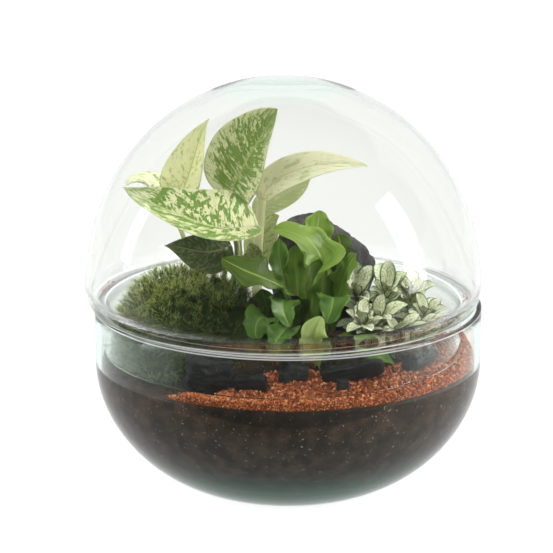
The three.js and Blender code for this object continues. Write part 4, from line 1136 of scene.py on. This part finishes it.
# %% Fern fronds
STRAP = {"outline": "strap", "rows": 110, "cols": 21, "thick": 0.45, "fold": (0.3, 0.1), "wave": 2.4,
         "ruffle": 1.1, "scallop": 0.13}
FERN = (
    dict(spine=((3, -32, 79), (5, -46, 118), (-12, -55, 135), (-37, -51, 146)),
         face=((0.3, 0.9, 0.3), (0.2, -0.8, 0.6)), width=12, waves=3),
    dict(spine=((13, -28, 79), (19, -35, 118), (17, -38, 146), (-8, -40, 160)),
         face=((-0.4, 0.8, 0.2), (0, -0.7, 0.8)), width=13, waves=3),
    dict(spine=((11, -19, 79), (13, -14, 115), (16, -6, 142), (18, 4, 160)),
         face=((0, -1, 0.1), (0, -1, 0.2)), width=11, waves=3),
    dict(spine=((18, -23, 79), (24, -22, 116), (29, -20, 138), (28, -16, 151)),
         face=((-0.5, -0.8, 0.1), (-0.3, -0.9, 0.2)), width=10, waves=3),
    dict(spine=((21, -28, 79), (27, -30, 110), (31, -36, 131), (38, -41, 146)),
         face=((-0.6, -0.6, 0.3), (-0.5, -0.7, 0.4)), width=7, waves=3),
    dict(spine=((8, -24, 79), (6, -23, 110), (4, -26, 132), (4, -31, 148)),
         face=((0, -1, 0.1), (0.1, -1, 0)), width=7, waves=2),
    dict(spine=((4, -19, 79), (0, -14, 109), (-4, -12, 130), (-5, -12, 147)),
         face=((0, -1, 0.1), (0.2, -1, 0.1)), width=7, waves=2),
    dict(spine=((6, -37, 79), (2, -49, 116), (-3, -61, 124), (1, -70, 112)),
         face=((0.2, 0.6, 0.7), (0.1, -0.7, 0.8)), width=9, waves=3),
    dict(spine=((16, -51, 76), (15, -60, 91), (14, -67, 104), (18, -67, 117)),
         face=((0, -0.6, 0.7), (0, -0.9, 0.2)), width=9, waves=1.5, fold=(0.2, 0.3)),
    dict(spine=((19, -33, 79), (23, -40, 116), (25, -50, 122), (21, -57, 110)),
         face=((0, 0.6, 0.7), (0.2, -0.7, 0.7)), width=9, waves=2),
    dict(spine=((0, -28, 79), (-9, -39, 106), (-17, -55, 111), (-17, -69, 101)),
         face=((0.5, 0.5, 0.7), (0, -0.6, 0.8)), width=9, waves=3),
    dict(spine=((10, -42, 79), (3, -55, 106), (-4, -69, 107), (-7, -79, 98)),
         face=((0.2, 0.5, 0.8), (0.1, -0.6, 0.8)), width=8, waves=2),
    dict(spine=((24, -36, 79), (29, -49, 97), (42, -58, 95), (59, -61, 88)),
         face=((-0.4, 0.4, 0.8), (0, -0.3, 1)), width=6.5, waves=2),
)
# Copies of one finish with painted light and shade: in light, in shade and in half light, and a pale copy.
fern_bright = fern_finish("fern_in_light", (0.21, 0.31, 0.050), (0.040, 0.105, 0.012), 0.30)
fern_dark = fern_finish("fern_in_shade", (0.09, 0.20, 0.022), (0.03, 0.09, 0.010), 0.22)
fern_half = fern_finish("fern_in_half_light", (0.048, 0.078, 0.012), (0.018, 0.038, 0.005), 0.05, 0.2)
fern_pale = fern_finish("pale_fern", (0.80, 0.88, 0.38), (0.56, 0.68, 0.22), 0.40)
YOUNG_FRONDS = {7: dict(spine=((-2, -24, 78), (-8, -24, 95), (-12, -25, 109), (-15, -28, 122)),
                        face=((0, -1, 0.1), (-0.2, -1, 0.2)), width=9, waves=2, phase=0.6)}
FERN_FINISHES = {1: fern_half, 4: fern_half, 7: fern_dark, 8: fern_dark, 9: fern_pale, 10: fern_dark,
                 11: fern_dark, 12: fern_dark}
for number, frond in enumerate(FERN, 1):
    form = Form().add(*leaf_blade(**{**STRAP, "phase": (number - 1) * 1.7, **frond}))
    if number in YOUNG_FRONDS:
        form.add(*leaf_blade(**{**STRAP, **YOUNG_FRONDS[number]}))
    make_piece(f"fern_{number:02d}", f"fern_frond_{number:02d}", form,
               FERN_FINISHES.get(number, fern_bright))

# %% [markdown]
# ## Fittonia
# Fittonia is a low clump of small leaves in pairs. Each is dark green at the margin and silvery between,
# with a fine net of green. Cell edges of a Voronoi pattern, stretched along the leaf, make that net. The
# solid's leaves are all here. Small young leaves fill the middle of each head, and more leaves stand in a
# spiral down each stem, because the real clump is so dense that hardly any soil shows between them.

# %% Fittonia leaves and stems
# Root and head of each stem, and the tips of its leaves
FITTONIA = (
    ((42, -15), (40, -10, 112),
     ((38, -4, 132), (48, -7, 130), (28, -14, 127), (28, -20, 114), (46, -24, 114))),
    ((55, -12), (57, -7, 113), ((58, -4, 132), (68, 0, 124), (52, 8, 127), (62, -20, 118))),
    ((67, -2), (72, 3, 109), ((86, 2, 116), (73, 18, 120), (59, 15, 118), (79, -9, 114))),
    ((51, -25), (50, -29, 102), ((54, -29, 119), (68, -25, 112), (39, -25, 113), (58, -43, 108))),
    ((70, -14), (80, -15, 101), ((74, -13, 115), (91, -20, 108), (87, 1, 108))),
    ((60, -33), (63, -39, 96), ((74, -34, 109), (80, -45, 103), (57, -55, 99), (66, -53, 108))),
    ((45, -34), (42, -39, 104), ((27, -43, 104), (33, -54, 103), (47, -54, 103), (43, -31, 117))),
    ((70, -25), (76, -29, 96), ((90, -25, 104), (85, -39, 102), (69, -27, 109))),
)
FITTONIA_FACE = (0, -0.45, 1)
FITTONIA_WIDTH, FITTONIA_ARCH, BUD_RADIUS, CLUMP_RADIUS = 0.25, 0.14, 1.9, 97.0
YOUNG_LEAVES, YOUNG_OUT, YOUNG_FORWARD, YOUNG_UP = 4, 4.6, 1.5, 6.5
SPIRAL_LEAVES, SPIRAL_DEPTH, SPIRAL_REACH, GOLDEN_TURN = 15, 0.62, (13.0, 18.0), 2.39996
SPIRAL_OUT, SPIRAL_UP = (0.55, 0.92), (0.75, 0.2)


def fittonia_leaf(head, tip, rows=22, cols=13):
    """A small oval blade whose spine arches from the bud to the tip."""
    head, tip = np.array(head, float), np.array(tip, float)
    length = np.linalg.norm(tip - head)
    start = head + (tip - head) * 0.7 * BUD_RADIUS / length
    share = np.arange(4)[:, None] / 3
    lift = unit(np.array(FITTONIA_FACE, float)) * 4 * FITTONIA_ARCH * length
    spine = blend(start, tip, share) + lift * share * (1 - share)
    return leaf_blade(spine, (FITTONIA_FACE, FITTONIA_FACE), FITTONIA_WIDTH * length, "ovate", rows, cols,
                      thick=0.45, fold=(0.25, 0.25), wave=0.45, waves=1.5, quilt=0.35)


def fittonia_form(root, head, tips, number):
    """A stem with its leaves, small young ones in its head, and more in a spiral down the stem."""
    foot = np.array([*root, soil_top(*root)])
    top = np.array(head, float)
    low = np.array([*blend(foot, top, 0.15)[:2], blend(foot[2], top[2], 0.3)])
    form = Form().add(*stalk((foot, low, blend(foot, top, 0.68), top), (1.2, 1.0), 14, 8, 1.5))
    for tip in tips:
        form.add(*fittonia_leaf(head, tip))
    turn = GOLDEN_TURN * np.arange(YOUNG_LEAVES) + number
    young = np.stack([YOUNG_OUT * np.cos(turn), YOUNG_OUT * np.sin(turn) - YOUNG_FORWARD,
                      YOUNG_UP + 0 * turn], axis=1)
    for tip in young + top:
        form.add(*fittonia_leaf(head, tip, 16, 9))
    level = np.linspace(0.0, 1, SPIRAL_LEAVES)
    turn = GOLDEN_TURN * np.arange(SPIRAL_LEAVES) + 2.1 * number
    base = blend(top, low, SPIRAL_DEPTH * level[:, None])
    reach = blend(*SPIRAL_REACH, (level * 7) % 1)
    out = (reach * blend(*SPIRAL_OUT, level))[:, None] * np.stack([np.cos(turn), np.sin(turn)], axis=1)
    from_axis = base[:, :2] + out - [LID_SHIFT, 0]
    inside = np.minimum(1, CLUMP_RADIUS / np.linalg.norm(from_axis, axis=1))[:, None]
    height = base[:, 2] + reach * blend(*SPIRAL_UP, level)
    for start, tip in zip(base, np.column_stack([from_axis * inside + [LID_SHIFT, 0], height])):
        form.add(*fittonia_leaf(start, tip, 18, 11))
    return form


# %% Fittonia finish and pieces
def fittonia_finish():
    finish = Finish("silver_net_leaf")
    side, along, _ = finish.parts(finish.pattern())
    reach = abs(side)
    net_place = finish.joined(side * 2.6, along * 6.0 - reach * 2.0)
    cells = finish.node("ShaderNodeTexVoronoi", {"feature": "DISTANCE_TO_EDGE"},
                        {"Vector": net_place, "Scale": 1.3})
    net = 1.0 - finish.step(cells, 0.015, 0.09)
    patches = finish.noise(finish.place(), 85.0, 2.0)
    silver = finish.colours(finish.step(patches, 0.4, 0.62), (0.68, 0.68, 0.45), (0.92, 0.89, 0.70))
    colour = finish.colours(net * 0.85, silver, (0.10, 0.20, 0.055))
    margin = finish.step(reach + abs(along - 0.5) * 0.2, 0.78, 0.93)
    colour = finish.colours(margin, colour, (0.030, 0.095, 0.022))
    colour = finish.colours(finish.step(side, *STALK_EDGE), colour, (0.20, 0.26, 0.12))
    body = finish.principled(colour, 0.55, finish.bump(cells, 0.0005, 0.5))
    return finish.thin_surface(body, 0.14, (0.52, 0.60, 0.30))


net_leaf = fittonia_finish()
for number, (root, head, tips) in enumerate(FITTONIA, 1):
    form = fittonia_form(root, head, tips, number)
    make_piece(f"fittonia_{number}", f"fittonia_stem_{number}", form, net_leaf)

# %% [markdown]
# ## Floor and light
# Clear glass shows by what it bends and mirrors. The floor and the backdrop give off an even white light, and
# the room beside the camera is dark, so that the front of the bowl mirrors little and the soil keeps its
# colour. The floor is darker in front of what the camera sees, for the same reason. Under the foot the floor
# carries a painted shadow, for the same reason. Two soft boxes stand left and right, where their mirror
# images fall on the dome as in the photograph. Two more, above and in front, light the plants and are hidden
# from mirrors.


# %% Floor
def stage_sheet(name, points, faces, finish):
    """A sheet that belongs to the studio, in metres."""
    mesh = bpy.data.meshes.new(name)
    mesh.from_pydata(points, [], faces)
    mesh.materials.append(finish.material)
    sheet = new_object(name, mesh)


FLOOR_AHEAD, FLOOR_FAR, FOOT_SHADE = (-0.24, -0.128), (0.4, 1.9), (0.03, 0.060)
paper = Finish("white_paper")
place = paper.place()
depth = paper.parts(place)[1]
behind_front = paper.step(depth, *FLOOR_AHEAD)
tone = paper.colours(behind_front, grey(0.07), grey(0.10))
lit = paper.colours(paper.step(depth, *FLOOR_FAR), grey(0.97), grey(1.0))
lit = paper.colours(behind_front, grey(0.10), lit)
from_middle = paper.node("ShaderNodeVectorMath", {"operation": "LENGTH"}, {0: place}, "Value")
# Painted shadow: the floor under the foot gives off almost no light, as in the bowl's shadow.
lit = paper.colours(paper.step(from_middle, *FOOT_SHADE), grey(0.05), lit)
paper.surface(paper.principled(tone, 0.95, constants={"Emission Strength": 1.0, "Emission Color": lit}))
stage_sheet("floor", [(-9, -6, 0), (9, -6, 0), (9, 9, 0), (-9, 9, 0)], [(0, 1, 2, 3)], paper)

# %% Backdrop and room
BACKDROP_RADIUS, BACKDROP_LEVELS, BACKDROP_HALF_TURN, BACKDROP_POSTS = 3.0, (0.01, 3.2), 72, 49
glow = Finish("lit_backdrop")
glow.surface(glow.node("ShaderNodeEmission", {}, {"Color": (*grey(1.0), 1), "Strength": 1.0}))
turn = np.radians(np.linspace(-BACKDROP_HALF_TURN, BACKDROP_HALF_TURN, BACKDROP_POSTS))
across, behind = BACKDROP_RADIUS * np.sin(turn), BACKDROP_RADIUS * np.cos(turn)
wall = np.concatenate([np.stack([across, behind, 0 * turn + level], axis=1) for level in BACKDROP_LEVELS])
stage_sheet("backdrop", wall.tolist(), grid_faces(2, BACKDROP_POSTS).tolist(), glow)

ROOM_LIGHT = 0.26
world = bpy.data.worlds.new("studio")
world.use_nodes = True
room = world.node_tree.nodes["Background"].inputs
room["Color"].default_value = (*grey(1.0), 1)
room["Strength"].default_value = ROOM_LIGHT
bpy.context.scene.world = world
print("backdrop:", 2 * BACKDROP_HALF_TURN, "degrees round the object")


# %% Lamps
def soft_box(name, place, aim, width, height, power, mirrored=True):
    """A lamp with a lit rectangle, which can be hidden from mirror images and from what glass bends."""
    lamp = bpy.data.lights.new(name, "AREA")
    lamp.shape, lamp.size, lamp.size_y, lamp.energy = "RECTANGLE", width, height, power
    box = new_object(name, lamp)
    aim_from(box, place, aim)
    box.visible_glossy = mirrored
    box.visible_transmission = mirrored


soft_box("soft_box_above", (-0.15, 0.55, 1.65), (0, 0, 0.1), 0.7, 0.7, 20.0, mirrored=False)
soft_box("soft_box_front", (-0.55, -1.25, 1.45), (0, 0, 0.13), 0.8, 0.8, 31.0, mirrored=False)
soft_box("soft_box_right", (1.18, -0.22, 0.52), (0, 0, 0.13), 0.32, 0.95, 11.0)
soft_box("soft_box_left", (-1.22, 0.25, 0.42), (0, 0, 0.13), 0.16, 0.50, 1.6)
print("lamps:", len(bpy.data.lights))
